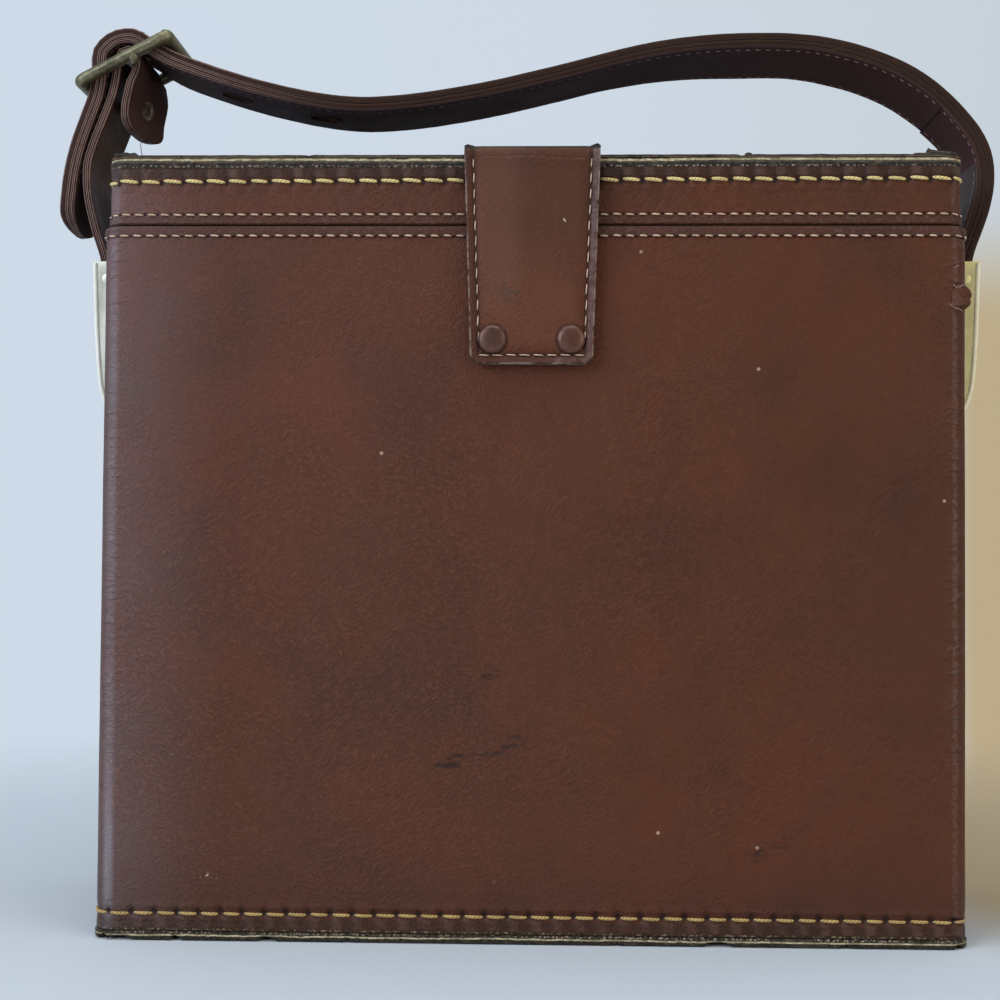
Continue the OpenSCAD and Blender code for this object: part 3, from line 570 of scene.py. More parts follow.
def leatherette(name, h=hide, rows=(), edges=0.0, strips=(), marks=None, tint=1.0, depth=0.3 * mm):
    # rows are (height, pitch, hole width, hole height, how deep); strips are bound edges (low, high)
    f = Finish(name)
    p = f.place()
    x, y, z = f.parts(p)
    cloud = f.noise(13, 4, 0.6, 0.6)
    patch = f.noise(31, 5, 0.62, 0.3, at=f.stretched(p, (1, 1, 0.8), (3.1, 0.2, 1.7)))
    speck = f.noise(420, 3, 0.7)
    colour = f.mix(f.ease(cloud, 0.34, 0.66), h["brown"], h["red"])
    colour = f.mix(f.ease(patch, 0.42, 0.74) * 0.5, colour, h["dark"])
    colour = f.mix(f.ease(patch, 0.46, 0.28) * 0.35, colour, h["grey"])
    # grain: short fine wrinkles in all directions over small pebbles, rubbed pale on their crests with a painted
    # highlight there and painted shade in the furrows, stronger towards the left
    pebble = f.cells(h["grain"], "SMOOTH_F1")
    turned45 = f.node("VectorRotate", {"rotation_type": "AXIS_ANGLE"}, {
        "Vector": p, "Axis": (0, 1, 0), "Angle": 0.8})
    leftWrinkle = f.ridges(h["wrinkle"], 3, 0.75, 0.3, at=f.stretched(turned45, (1, 1, 0.45)))
    rightWrinkle = f.ridges(h["wrinkle"] * 1.15, 3, 0.75, 0.3,
                            at=f.stretched(turned45, (0.45, 1, 1), (0.4, 0, 0.2)))
    region = f.ease(f.noise(36, 3, 0.6), 0.36, 0.62)
    wrinkle = f.parts(f.mix(region, leftWrinkle, rightWrinkle))[0]
    crest = f.ease(wrinkle, 0.45, 1.25)
    amount = f.ease(f.noise(19, 3, 0.65, at=f.stretched(p, (1, 1, 1), (2, 0, 1))), 0.32, 0.64) * 0.7 + 0.3
    amount = amount * f.ease(x, 0.09, -0.09, 0.55, 1.15)
    colour = f.mix(crest * amount * h["crestRubAndHighlight"], colour, h["pale"])
    colour = f.mix(f.ease(wrinkle, 0.45, 0.05) * amount * 0.42, colour, h["furrowShade"])
    colour = f.mix(f.ease(speck, 0.6, 0.8) * 0.25, colour, h["pale"])
    colour = f.mix(f.ease(speck, 0.42, 0.22) * 0.3, colour, h["pore"])
    height = pebble * 0.25 + crest * amount * 1.0 + f.noise(900, 2, 0.6) * 0.25
    rough = f.ease(f.noise(52, 3), 0.3, 0.7) * 0.1 + (h["rough"] - 0.04)
    if edges:
        # leather pulled round the upright corners: smoother, with wrinkles that run across the corner, their ridges
        # painted paler, a painted highlight
        side = f.ease(abs(x), edges - 9 * mm, edges - 2 * mm)
        front = f.ease(abs(y), 0.026, 0.036)
        corner = side * front
        where = f.ease(f.noise(16, 3, 0.6, at=f.stretched(p, (0, 0, 1.4), (0, 0, 0.42))), 0.38, 0.6)
        folds = f.ridges(150, 4, 0.7, 0.5, at=f.stretched(p, (0.5, 0.5, 1.7), (0.3, 0, 0.1)))
        folds = f.ease(folds, 0.55, 1.5)
        height = height + folds * corner * where * 2.4
        rough = rough - corner * 0.13
        colour = f.mix(folds * corner * where * 0.22, colour, h["fold"])
        # painted sheen on the left side and along its upright edge; painted shade towards the right; a painted
        # highlight on the rubbed right-hand upright edge
        bloom = f.ease(x, -0.08, -0.118, 0, 0.15) + f.ease(x, 0.06, -0.07, 0, 0.02)
        bloom = bloom + f.band(x, -edges + 3.2 * mm, 0.4 * mm, 1.8 * mm) * f.ease(z, 0.06, 0.02, 0.2, 0.42)
        # painted shade: the case darkens towards the right, away from the light
        colour = f.mix(f.ease(x, 0.02, 0.11, 0, 0.16), colour, h["paintedShade"])
        # the rubbed upright edge on the right: pale, with a painted highlight
        sheen = f.band(x, edges - 3.8 * mm, 0.3 * mm, 0.9 * mm) * f.ease(pebble, 0.25, 0.6, 0.2, 0.04) * front
        colour = f.mix(sheen, colour, h["rubbedEdgeHighlight"])
        colour = f.mix(bloom * f.ease(patch, 0.3, 0.7, 0.85, 1.15) * front, colour, h["bloom"])
    colour = f.mix(1 - tint, colour, h["tint"]) if tint < 1 else colour
    run, tall = f.parts(f.node("UVMap", {"uv_map": "UVMap"}))[:2] if rows or strips else (None, None)
    deep = None
    for rowZ, pitch, wide, high, how in rows:
        hole, dent, pleat = rowMarks(f, run, tall, rowZ, pitch, wide, high)
        # the holes and the dents round them are painted darker, a painted shade
        colour = f.mix(hole * 0.95, colour, h["hole"])
        colour = f.mix(dent * 0.3 * how, colour, h["dent"])
        groove = f.band(tall, rowZ, high * 0.5, high * 1.1) * 0.3
        part = (hole * 0.9 + dent * 0.75 + groove - pleat * 0.6) * how
        if how == 1:
            # the narrow strip between a heavy row and the rim puckers into lobes, rubbed pale in places and given a
            # painted highlight
            phase = f.calc("FRACT", run * (1 / pitch) + f.noise(60, 2) * 0.3)
            lobe = f.ease(f.calc("MINIMUM", phase, 1 - phase), 0.16, 0.42)
            strip = f.band(tall, rowZ + (2.7 if rowZ > 0.1 else -3.1) * mm, 0.9 * mm, 1.1 * mm)
            colour = f.mix(strip * 0.5, colour, h["strip"])
            rubbed = f.ease(f.noise(110, 3, 0.6), 0.35, 0.65, 0.1, 0.4)
            colour = f.mix(strip * lobe * rubbed, colour, h["lobe"])
            part = part - strip * lobe * 0.5
        deep = part if deep is None else deep + part
    for low, high in strips:
        # matt, coarser edge binding
        inside = f.ease(tall, low - 0.1 * mm, low + 0.1 * mm) * f.ease(tall, high + 0.1 * mm, high - 0.1 * mm)
        coarse = f.cells(1500, "F1")
        colour = f.mix(inside * 0.4, colour, h["binding"])
        colour = f.mix(inside * f.ease(f.noise(900, 2), 0.52, 0.7) * 0.35, colour, h["bindingFleck"])
        height = height + inside * coarse * 0.7
        rough = rough + inside * 0.12
    if marks:
        colour, rough, height = marks(f, colour, rough, height, (x, y, z))
    normal = f.bump(height, depth, 0.85)
    if deep is not None:
        normal = f.bump(deep * -1, 0.75 * mm, 0.9, normal)
    return f.shade(colour, rough, normal, Specular_IOR_Level=0.22)


def threadFinish(name, light, dark, ply=1.0 * mm, fade=None):
    # fade gives two places across the case between which the thread is soiled to the leather's colour
    f = Finish(name)
    run, turn = f.parts(f.node("UVMap", {"uv_map": "UVMap"}))[:2]
    lay = f.calc("SINE", run * (6.283 / ply) + turn * 12.566)
    fuzz = f.noise(2600, 3, 0.7)
    grime = f.ease(f.noise(210, 3, 0.6), 0.35, 0.68)
    colour = f.mix(f.ease(lay * 0.22 + fuzz, 0.2, 0.7), dark, light)
    colour = f.mix(grime * 0.35, colour, [v * 0.78 for v in dark])
    if fade:
        colour = f.mix(f.ease(f.parts(f.place())[0], fade[0], fade[1], 0, 0.75), colour, (52, 38, 36))
    return f.shade(colour, 0.7, f.bump(lay * 0.3 + fuzz * 0.6, 0.1 * mm, 0.7), Sheen_Weight=0.2,
                   Specular_IOR_Level=0.3)


rim = {
    "rubbed": (96, 84, 70), "scratch": (120, 106, 86), "olive": (54, 47, 33), "line": (112, 98, 76),
    "cream": (206, 194, 158), "creamDark": (150, 136, 104), "dot": (168, 150, 132),
}


def wornEdge(name, cream, dots=(), lines=(), creamHalf=0.22 * mm, plain=(34, 29, 25)):
    # a black edge: cream core showing along one height, paler lines and dotted wear along others
    f = Finish(name)
    p = f.place()
    x, _, z = f.parts(p)
    calm = f.ease(x, 0.05, 0.085, 1, 0.25)
    wander = ((f.noise(34, 3, 0.6) - 0.5) * (0.9 * mm) + (f.noise(330, 3, 0.7) - 0.5) * (0.8 * mm)) * calm
    broken = f.ease(f.noise(75, 4, 0.7, at=f.stretched(p, (1, 1, 3))), 0.3, 0.44, 0.25, 1)
    broken = f.parts(f.mix(calm, (255, 255, 255), broken))[0]
    line = f.band(z + wander, cream, creamHalf, 0.16 * mm) * broken
    # pale rubbed specks and streaky scratches: wear, and painted glints where the rough edge catches the light
    rubbed = f.ease(f.noise(900, 4, 0.75), 0.46, 0.66)
    wide = f.ease(f.noise(75, 3, 0.6), 0.3, 0.6)
    colour = f.mix(rubbed * 0.6 * wide, plain, rim["rubbed"])
    scratch = f.noise(700, 4, 0.8, at=f.stretched(p, (0.16, 0.16, 1.6)))
    colour = f.mix(f.ease(scratch, 0.58, 0.7) * 0.5, colour, rim["scratch"])
    colour = f.mix(f.ease(f.noise(18, 2), 0.45, 0.7) * 0.3, colour, rim["olive"])
    for at, half in lines:
        thin = f.band(z + wander * 0.5, at, half, 0.1 * mm) * f.ease(f.noise(140, 3, 0.7), 0.34, 0.5)
        colour = f.mix(thin * 0.6, colour, rim["line"])
    core = f.mix(f.ease(f.noise(420, 3, 0.7), 0.35, 0.65), rim["cream"], rim["creamDark"])
    colour = f.mix(line * 0.85, colour, core)
    for at in dots:
        spots = f.ease(f.cells(1500, at=f.stretched(p, (0.8, 0.8, 0.7))), 0.5, 0.25)
        seen = f.band(z + wander * 0.3, at, 0.24 * mm, 0.15 * mm) * spots * f.ease(f.noise(60, 3), 0.34, 0.5)
        colour = f.mix(seen * f.ease(x, -0.02, 0.04, 0.5, 0.85), colour, rim["dot"])
    height = f.cells(900) * 0.8 + f.noise(420, 4, 0.7) * 1.3 + scratch * 0.6 - line * 0.3
    return f.shade(colour, 0.5, f.bump(height, 0.6 * mm, 1.0), Specular_IOR_Level=0.2)


strapTone = {
    "dark": (42, 28, 22), "brown": (54, 37, 29), "leftDark": (42, 27, 25), "leftBrown": (56, 38, 34),
    "underMiddle": (56, 47, 54), "face": (76, 54, 50), "hole": (20, 15, 16), "fleck": (92, 68, 56),
    "rubbed": (140, 115, 105), "groove": (22, 16, 15),
}


def strapFinish(name, under, duller, shine):
    # wear is 1 on rubbed edges, and the UV's second value is 0 on the outside, 1 on the underside
    f = Finish(name)
    p = f.place()
    side = f.parts(f.node("UVMap", {"uv_map": "UVMap"}))[1]
    wear = f.mark("wear")
    cloud = f.noise(46, 4, 0.6)
    x, y, z = f.parts(p)
    colour = f.mix(cloud, strapTone["dark"], strapTone["brown"])
    colour = f.mix(f.ease(x, -0.07, -0.1), colour, f.mix(cloud, strapTone["leftDark"], strapTone["leftBrown"]))
    middle = f.mix(f.ease(x, 0.03, 0.1), strapTone["underMiddle"], [v * 1.22 for v in under])
    colour = f.mix(side, colour, f.mix(f.ease(x, -0.1, -0.09), under, middle))
    face = f.ease(abs(y), 0.0127, 0.0117) * f.ease(x, -0.09, -0.1) * f.ease(z, 0.236, 0.23)
    colour = f.mix(face * 0.45, colour, strapTone["face"])
    # inside the buckle holes the leather is painted dark, a painted shade
    near = f.calc("MINIMUM", abs(x - holeSpots[0]), abs(x - holeSpots[1]))
    ring = near * near * 46000 + y * y * 160000
    colour = f.mix(f.ease(ring, 1.05, 0.85) * f.ease(z, 0.24, 0.236), colour, strapTone["hole"])
    colour = f.mix(f.ease(f.noise(500, 3, 0.7), 0.56, 0.8) * 0.25, colour, strapTone["fleck"])
    rubbed = f.ease(wear + (f.noise(300, 4, 0.7) - 0.5) * 0.7, 0.4, 0.9)
    colour = f.mix(rubbed * f.ease(x, -0.05, -0.11, 0.07, 0.9), colour, strapTone["rubbed"])
    groove = f.ease(wear, -0.2, -0.9)
    colour = f.mix(groove * 0.85, colour, strapTone["groove"])
    folds = f.noise(150, 4, 0.6, 1.0, at=f.stretched(p, (1, 0.35, 1)))
    creases = f.ease(abs(folds - 0.5), 0.05, 0.0)
    height = f.cells(700, "SMOOTH_F1") * 0.4 + f.noise(1000, 2) * 0.3 - creases * 0.4
    rough = f.ease(f.noise(60, 3), 0.3, 0.7) * 0.14 + 0.42 + side * (duller - 0.06)
    return f.shade(colour, rough, f.bump(height, 0.2 * mm, 0.7), Specular_IOR_Level=shine)


def metal(name, base, dark, light, rough=0.34, pits=0.5, shine=1.0, flecks=0.5, spot=(60, 56, 48)):
    f = Finish(name)
    p = f.place()
    film = f.noise(90, 5, 0.65, 0.4)
    colour = f.mix(f.ease(film, 0.35, 0.65), base, dark)
    brushed = f.noise(700, 3, 0.7, at=f.stretched(p, (1, 1, 1)))
    colour = f.mix(f.ease(brushed, 0.45, 0.75) * 0.4, colour, light)
    fleck = f.ease(f.noise(520, 4, 0.8), 0.66, 0.72) * flecks
    colour = f.mix(fleck, colour, spot)
    height = brushed * 0.35 + f.noise(260, 3) * pits - fleck * 0.6
    uneven = f.ease(f.noise(150, 4, 0.7), 0.3, 0.7) * 0.18 + (rough - 0.06)
    return f.shade(colour, uneven + fleck * 0.2, f.bump(height, 0.09 * mm, 0.6), Metallic=shine)


def board(name):
    f = Finish(name)
    p = f.place()
    fibres = f.noise(420, 5, 0.7, at=f.stretched(p, (0.4, 1, 2.2)))
    colour = f.mix(f.ease(fibres, 0.3, 0.7), (126, 98, 68), (164, 136, 98))
    return f.shade(colour, 0.85, f.bump(fibres, 0.2 * mm, 0.6))


def cloth(name, dark, light, pile=1500, deep=0.3 * mm):
    f = Finish(name)
    tufts = f.cells(pile)
    lay = f.noise(70, 4, 0.6)
    colour = f.mix(f.ease(lay, 0.3, 0.7), dark, light)
    colour = f.mix(f.ease(tufts, 0.2, 0.7) * 0.35, colour, [v * 0.55 for v in dark])
    return f.shade(colour, 0.92, f.bump(tufts + f.noise(pile * 0.6, 3) * 0.5, deep, 0.7), Sheen_Weight=0.4,
                   Sheen_Roughness=0.5, Specular_IOR_Level=0.2)


# the case

heavyPitch, finePitch = 5.9 * mm, 3.5 * mm
rowHeights = {
    "bottom": 7.2 * mm, "body": bindHigh.z - 2.7 * mm,
    "lidFine": lidLow.z + 2.7 * mm, "lidHeavy": lidHigh.z - 3.0 * mm,
}


def climb(x, share=1):
    # the lid's upper row of stitches and its black edge rise a little towards the right
    return share * 0.8 * mm * min(max((x + 0.11) / 0.22, 0), 1)


bodyPlan = roundedPlan(caseW, caseD, cornerR)
lidPlan = roundedPlan(lidW, lidD, cornerR, middleY=lidY)


def fitted(plan, pitch):
    return plan[-1][4] / round(plan[-1][4] / pitch)


mark = {
    "stroke": (38, 24, 20), "speck": (190, 164, 140), "low": (50, 33, 26), "bottom": (52, 46, 34),
    "dot": (158, 142, 112), "paintedShade": (38, 26, 20), "topRubbed": (132, 104, 90), "topBlack": (34, 29, 25),
    "topWorn": (120, 104, 82), "topLine": (112, 96, 74),
}


def scuffs(f, colour, rough, height, at):
    # the marks on the front: dark strokes low down, a dark patch, pale specks
    x, y, z = at
    front = f.ease(y, -0.038, -0.0405)
    ragged = f.noise(420, 4, 0.75, 0.5, at=f.stretched(f.place(), (0.45, 1, 1.6)))

    def spot(cx, cz, w, h, low, high, slope=0.0):
        dx, dz = (x - cx) * (1 / w), (z - cz - (x - cx) * slope) * (1 / h)
        near = f.ease(dx * dx + dz * dz, 1.0, 0.2)
        return near * f.ease(ragged, low, high) * front

    strokes = spot(-0.012, 0.0515, 0.016, 0.0032, 0.52, 0.6, 0.28)
    for more in ((-0.022, 0.0475, 0.005, 0.0012, 0.42, 0.5), (0.0635, 0.0262, 0.0075, 0.0036, 0.5, 0.6, 0.3),
                 (-0.0105, 0.0722, 0.0036, 0.0028, 0.47, 0.6), (-0.116, 0.041, 0.0012, 0.002, 0.3, 0.5)):
        strokes = f.calc("MAXIMUM", strokes, spot(*more))
    colour = f.mix(strokes * 0.8, colour, mark["stroke"])
    flecks = f.noise(900, 2, 0.6)
    pale = spot(-0.0862, 0.0172, 0.0042, 0.0011, 0.3, 0.5) * f.ease(flecks, 0.55, 0.62)
    dots = f.ease(f.cells(95), 0.055, 0.035) * front * f.ease(f.noise(15, 2), 0.5, 0.6)
    colour = f.mix(f.calc("MAXIMUM", pale, dots * 0.6), colour, mark["speck"])
    # dust and shade low down, darkest along the bottom edge, with a row of worn dots
    low = f.ease(z, 0.030, 0.004)
    colour = f.mix(low * 0.35, colour, mark["low"])
    bottom = f.ease(z, 3.6 * mm, 2.6 * mm)
    colour = f.mix(bottom * 0.8, colour, mark["bottom"])
    wornDots = f.band(z, 3.0 * mm, 0.15 * mm, 0.15 * mm) * f.ease(f.noise(900, 3, 0.7), 0.5, 0.62)
    colour = f.mix(wornDots * 0.7, colour, mark["dot"])
    return colour, rough - strokes * 0.08, height - strokes * 0.3


bodyLeather = leatherette(
    "bodyLeather", edges=caseW / 2, marks=scuffs,
    rows=[(rowHeights["bottom"] + 0.45 * mm, fitted(bodyPlan, heavyPitch), 1.0 * mm, 1.0 * mm, 1.0),
          (rowHeights["body"], fitted(bodyPlan, finePitch), 0.5 * mm, 0.42 * mm, 0.45)])
bindingLeather = leatherette("bindingLeather", strips=[(0.1, 0.3)], depth=0.3 * mm, tint=0.94, edges=caseW / 2)


def lidMarks(f, colour, rough, height, at):
    # the leather between the heavy row and the rim is painted darker, a painted shade under the rim
    shade = f.ease(at[2], rowHeights["lidHeavy"] + 0.7 * mm, rowHeights["lidHeavy"] + 1.5 * mm)
    return f.mix(shade * 0.4, colour, mark["paintedShade"]), rough, height


lidLeather = leatherette(
    "lidLeather", edges=caseW / 2, marks=lidMarks, strips=[(lidLow.z - 1 * mm, lidLow.z + 2.1 * mm)],
    rows=[(rowHeights["lidHeavy"] - 0.4 * mm, fitted(lidPlan, heavyPitch), 1.0 * mm, 1.0 * mm, 1.0),
          (rowHeights["lidFine"], fitted(lidPlan, finePitch), 0.5 * mm, 0.42 * mm, 0.45)])
heavyThread = threadFinish("heavyThread", (224, 206, 142), (174, 146, 84))
lowThread = threadFinish("lowThread", (194, 164, 100), (130, 106, 58))
fineThread = threadFinish("fineThread", (226, 200, 172), (160, 126, 102), 0.6 * mm)
rimTopFinish = wornEdge("rimTop", rimHigh.z - 0.35 * mm, dots=(rimLow.z + 1.1 * mm,), creamHalf=0.26 * mm,
                        lines=((rimHigh.z + 0.42 * mm, 0.12 * mm), (rimHigh.z - 1.0 * mm, 0.06 * mm)))
rimLowFinish = wornEdge("rimLow", soleHigh.z - 0.95 * mm, dots=(soleHigh.z - 0.2 * mm,), creamHalf=0.14 * mm,
                        plain=(34, 31, 23))


def bodyShape(x, y, ny, run, out, z):
    # leather over boards: slightly full, a little wavy, drawn in along the rows of stitches
    if out < 0:
        return 0, 0
    t = (z - bodyLow.z) / (bodyHigh.z - bodyLow.z)
    flat = abs(ny) if abs(x) < caseW / 2 - cornerR else 0
    full = 0.25 * mm * math.sin(math.pi * min(max(t, 0), 1)) ** 0.5 * flat
    wave = 0.10 * mm * noise.noise((x * 28, y * 28, z * 24)) + 0.05 * mm * noise.noise((x * 90, y * 90, z * 90))
    drawn = 0
    for row, deep, tall in ((rowHeights["bottom"], 0.28, 1.6), (rowHeights["body"], 0.12, 0.8)):
        drawn += deep * mm * math.exp(-((z - row) / (tall * mm)) ** 2)
    return full + wave - drawn, 0


def bodyProfile():
    row, fine = rowHeights["bottom"], rowHeights["body"]
    heights = rowOf(bodyLow.z + 0.5 * mm, row - 2 * mm, 1 * mm) + rowOf(row - 1.6 * mm, row + 1.6 * mm, 0.4 * mm)
    heights += rowOf(row + 2.4 * mm, fine - 2 * mm, 4.5 * mm)
    heights += rowOf(fine - 1.2 * mm, bodyHigh.z - 0.2 * mm, 0.4 * mm)
    t = 1 * mm
    outer = [(-0.35 * mm, bodyLow.z), (-0.1 * mm, bodyLow.z + 0.2 * mm)] + [(0, z) for z in heights]
    return outer + [(-0.15 * mm, bodyHigh.z), (-t, bodyHigh.z), (-t, bodyLow.z)]


densePlan = roundedPlan(caseW, caseD, cornerR, step=2.5 * mm, turns=8)
denseLid = roundedPlan(lidW, lidD, cornerR, step=2.5 * mm, turns=8, middleY=lidY)


def boxTool(low, high):
    points = [(x, y, z) for x in (low[0], high[0]) for y in (low[1], high[1]) for z in (low[2], high[2])]
    return tool(points, [(0, 1, 3, 2), (4, 5, 7, 6), (0, 1, 5, 4), (2, 3, 7, 6), (0, 2, 6, 4), (1, 3, 7, 5)])


hingeHalf = hingeHigh.x + 0.4 * mm
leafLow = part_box("hinge_leaf_body")[0]
studLow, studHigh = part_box("right_stud")
pivotZ = (studLow.z + studHigh.z) / 2
cupLow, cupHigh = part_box("catch_cup")


def prism(first, second):
    # a cutting tool between two outlines
    return tool(first + second, ringFaces(2, len(first)))


def pegTool(start, end, y, z, radius, along="X", sides=32):
    turns = [2 * math.pi * k / sides for k in range(sides)]
    ring = [(radius * math.cos(t), radius * math.sin(t)) for t in turns]
    ends = [[(a, y + c, z + s) if along == "X" else (y + c, a, z + s) for c, s in ring] for a in (start, end)]
    return prism(*ends)


def clearHinge(obj):
    # room for the hinge's knuckles
    carve(obj, pegTool(-hingeHalf, hingeHalf, hingeY, hingeZ, 2.0 * mm, sides=24))


bodyCover = wall("bodyCover", densePlan, bodyProfile(), bodyShape, body="case", stands=["body_cover"],
                 slot="leatherette", material=bodyLeather)
clearHinge(bodyCover)
carve(bodyCover, pegTool(-caseW, caseW, 0, pivotZ, 3.06 * mm))
cupR = (cupHigh.x - cupLow.x) / 2
carve(bodyCover, pegTool(-caseD / 2 - 2 * mm, -caseD / 2 + 3 * mm, 0, (cupLow.z + cupHigh.z) / 2,
                         cupR + 0.25 * mm, "Y"))

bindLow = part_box("mouth_binding")[0]
bindT, bindTop = 1 * mm, 0.8 * mm
bindProfile = [
    (-0.05 * mm, bindLow.z), (proud * 0.75, bindLow.z + 0.15 * mm), (proud, bindLow.z + 0.5 * mm),
    (proud + 0.05 * mm, (bindLow.z + bindHigh.z) / 2), (proud, bindHigh.z - 0.75 * mm),
    (proud - 0.2 * mm, bindHigh.z - 0.25 * mm), (proud - 0.7 * mm, bindHigh.z), (-3.2 * mm, bindHigh.z),
    (-4 * mm, bindHigh.z - 0.1 * mm), (-4 * mm, bindHigh.z - bindTop), (-bindT, bindHigh.z - bindTop),
    (-bindT, bindLow.z)]


def edgeWave(x, y, ny, run, out, z):
    return (0.07 * mm * noise.noise((x * 130, y * 130, z * 90)) if out > 0 else 0), 0


mouthBinding = wall("mouthBinding", densePlan, bindProfile, edgeWave, body="case", stands=["mouth_binding"],
                    slot="binding", material=bindingLeather)
clearHinge(mouthBinding)
carve(mouthBinding, boxTool((-hingeHigh.x, leafLow.y, bindLow.z - 1 * mm),
                            (hingeHigh.x, hingeY, bindHigh.z + 1 * mm)))


# the black sole, chipped along its lower edge
chips = [(-109.5, 6.0, 0.9), (-94.9, 2.4, 1.2), (-70.3, 4.6, 1.0), (-49, 1.4, 0.6), (50, 7.2, 1.1), (23, 1.2, 0.5),
         (84, 2.2, 0.7), (-113.5, 2.2, 1.4), (113.6, 1.6, 0.9)]


def soleEdge(x, y, ny, run, out, z):
    if out < -0.9 * mm or z > soleHigh.z * 0.75:
        return 0, 0
    low = 1 - z / (soleHigh.z * 0.75)
    chip = 0
    if y < -caseD / 2 + 2 * mm:
        for cx, w, deep in chips:
            chip = max(chip, deep * mm * max(0, 1 - (abs(x / mm - cx) / (w / 2)) ** 3))
    else:
        chip = 1.1 * mm * max(0, noise.noise((run * 170, 3.3, 0)) - 0.42) * 3
    rough = 0.10 * mm * noise.noise((run * 420, z * 300, 1))
    return rough - chip * 0.7 * low - 0.1 * mm * low, min(chip, 1.5 * mm) * low


finePlan = roundedPlan(caseW, caseD, cornerR, step=1.1 * mm, turns=10)
soleProfile = [
    (-3 * mm, 0), (-0.9 * mm, 0), (proud - 0.45 * mm, 0.02 * mm), (proud - 0.1 * mm, 0.3 * mm), (proud, 0.8 * mm),
    (proud + 0.02 * mm, 1.3 * mm), (proud, 1.8 * mm), (proud - 0.12 * mm, soleHigh.z - 0.2 * mm),
    (proud - 0.5 * mm, soleHigh.z), (-3 * mm, soleHigh.z)]
points, uv = swept(finePlan, soleProfile, soleEdge)
bottomSole = makePiece("bottomSole", points, ringFaces(len(soleProfile), len(finePlan) - 1), "case", uv=uv,
                       stands=["bottom_sole"], slot="rim", material=rimLowFinish)
stitchHeavy = {"length": 5.5 * mm, "width": 0.98 * mm, "thick": 0.8 * mm, "arch": 0.38 * mm, "dip": 0.36 * mm,
               "lean": -0.26 * mm, "stray": 0.12 * mm}
stitchFine = {"length": 2.5 * mm, "width": 0.5 * mm, "thick": 0.44 * mm, "arch": 0.20 * mm, "dip": 0.14 * mm,
              "lean": -0.09 * mm, "rings": 7, "sides": 6, "stray": 0.08 * mm}
stitchRow("bottomStitches", spotsRound(bodyPlan, rowHeights["bottom"], heavyPitch, -0.2 * mm),
          dict(stitchHeavy, width=0.9 * mm, lean=-0.1 * mm), "case", lowThread)
stitchRow("bodyStitches", spotsRound(bodyPlan, rowHeights["body"], finePitch, 0.22 * mm), stitchFine,
          "case", fineThread)
for obj in (bodyCover, bottomSole, bpy.data.objects["bottomStitches"], bpy.data.objects["bodyStitches"]):
    # the left side bulges towards the bottom
    for v in obj.data.vertices:
        if v.co.x < -0.1:
            v.co.x -= 1.0 * mm * min(max(1 - v.co.z / 0.19, 0), 1) * min((-0.1 - v.co.x) / 0.014, 1)
print("the body is covered, bound and stitched")


# the lid

def lidShape(x, y, ny, run, out, z):
    if out < 0:
        return 0, 0
    wave = 0.10 * mm * noise.noise((x * 30, y * 30, z * 60 + 5))
    wave += 0.05 * mm * noise.noise((x * 95, y * 95, z * 95))
    drawn = 0
    for row, deep, tall, share in ((rowHeights["lidHeavy"], 0.28, 1.5, 1),
                                   (rowHeights["lidFine"], 0.12, 0.7, 0.25)):
        drawn += deep * mm * math.exp(-((z - row - climb(x, share)) / (tall * mm)) ** 2)
    # the back's lower edge is thinner, so that it clears the body's binding when the lid is turned back
    if ny > 0.3 and z < lidLow.z + 2.4 * mm:
        return min(wave, 0) - stripRise * 1.7, 0.2 * mm * (z < lidLow.z + 0.3 * mm)
    return wave - drawn, 0


lidRowHeavy, lidRowFine = rowHeights["lidHeavy"], rowHeights["lidFine"]
lidHeights = rowOf(lidLow.z + 0.45 * mm, lidLow.z + 2.0 * mm, 0.5 * mm)
lidHeights += rowOf(lidRowFine - 0.5 * mm, lidRowFine + 0.8 * mm, 0.4 * mm)
lidHeights += rowOf(lidRowFine + 1.6 * mm, lidRowHeavy - 1.8 * mm, 1.5 * mm)
lidHeights += rowOf(lidRowHeavy - 1.4 * mm, lidHigh.z - 0.3 * mm, 0.4 * mm)
stripRise = 0.28 * mm
lidProfile = [(-1 * mm, lidLow.z), (-0.35 * mm, lidLow.z), (-0.02 * mm, lidLow.z + 0.15 * mm)]
lidProfile += [(stripRise if z < lidLow.z + 2.1 * mm else 0, z) for z in lidHeights]
lidProfile += [(0, lidHigh.z + 0.5 * mm), (-0.02 * mm, lidHigh.z + 1.5 * mm), (-0.9 * mm, lidHigh.z + 1.5 * mm),
               (-1 * mm, lidHigh.z)]
lidCover = wall("lidCover", denseLid, lidProfile, lidShape, body="lid", stands=["lid_cover"], slot="leatherette",
                material=lidLeather)
clearHinge(lidCover)
rowMap = lidCover.data.uv_layers[0].data
for loop in lidCover.data.loops:
    v = lidCover.data.vertices[loop.vertex_index].co
    share = min(max((v.z - lidRowFine) / (lidRowHeavy - lidRowFine), 0), 1)
    rowMap[loop.index].uv[1] -= climb(v.x, 0.25 + 0.75 * share)

fineLid = roundedPlan(lidW, lidD, cornerR, step=1.4 * mm, turns=10, middleY=lidY)
rimT = rimHigh.z - rimLow.z
rimProfile = [(-1 * mm, rimLow.z), (-0.25 * mm, rimLow.z), (0.08 * mm, rimLow.z + 0.2 * mm),
              (0.22 * mm, rimLow.z + 0.35 * rimT), (0.25 * mm, rimLow.z + 0.6 * rimT),
              (0.1 * mm, rimLow.z + 0.82 * rimT), (-0.1 * mm, rimLow.z + 0.9 * rimT),
              (-0.02 * mm, rimHigh.z - 0.05 * mm), (-0.1 * mm, rimHigh.z), (-1 * mm, rimHigh.z)]


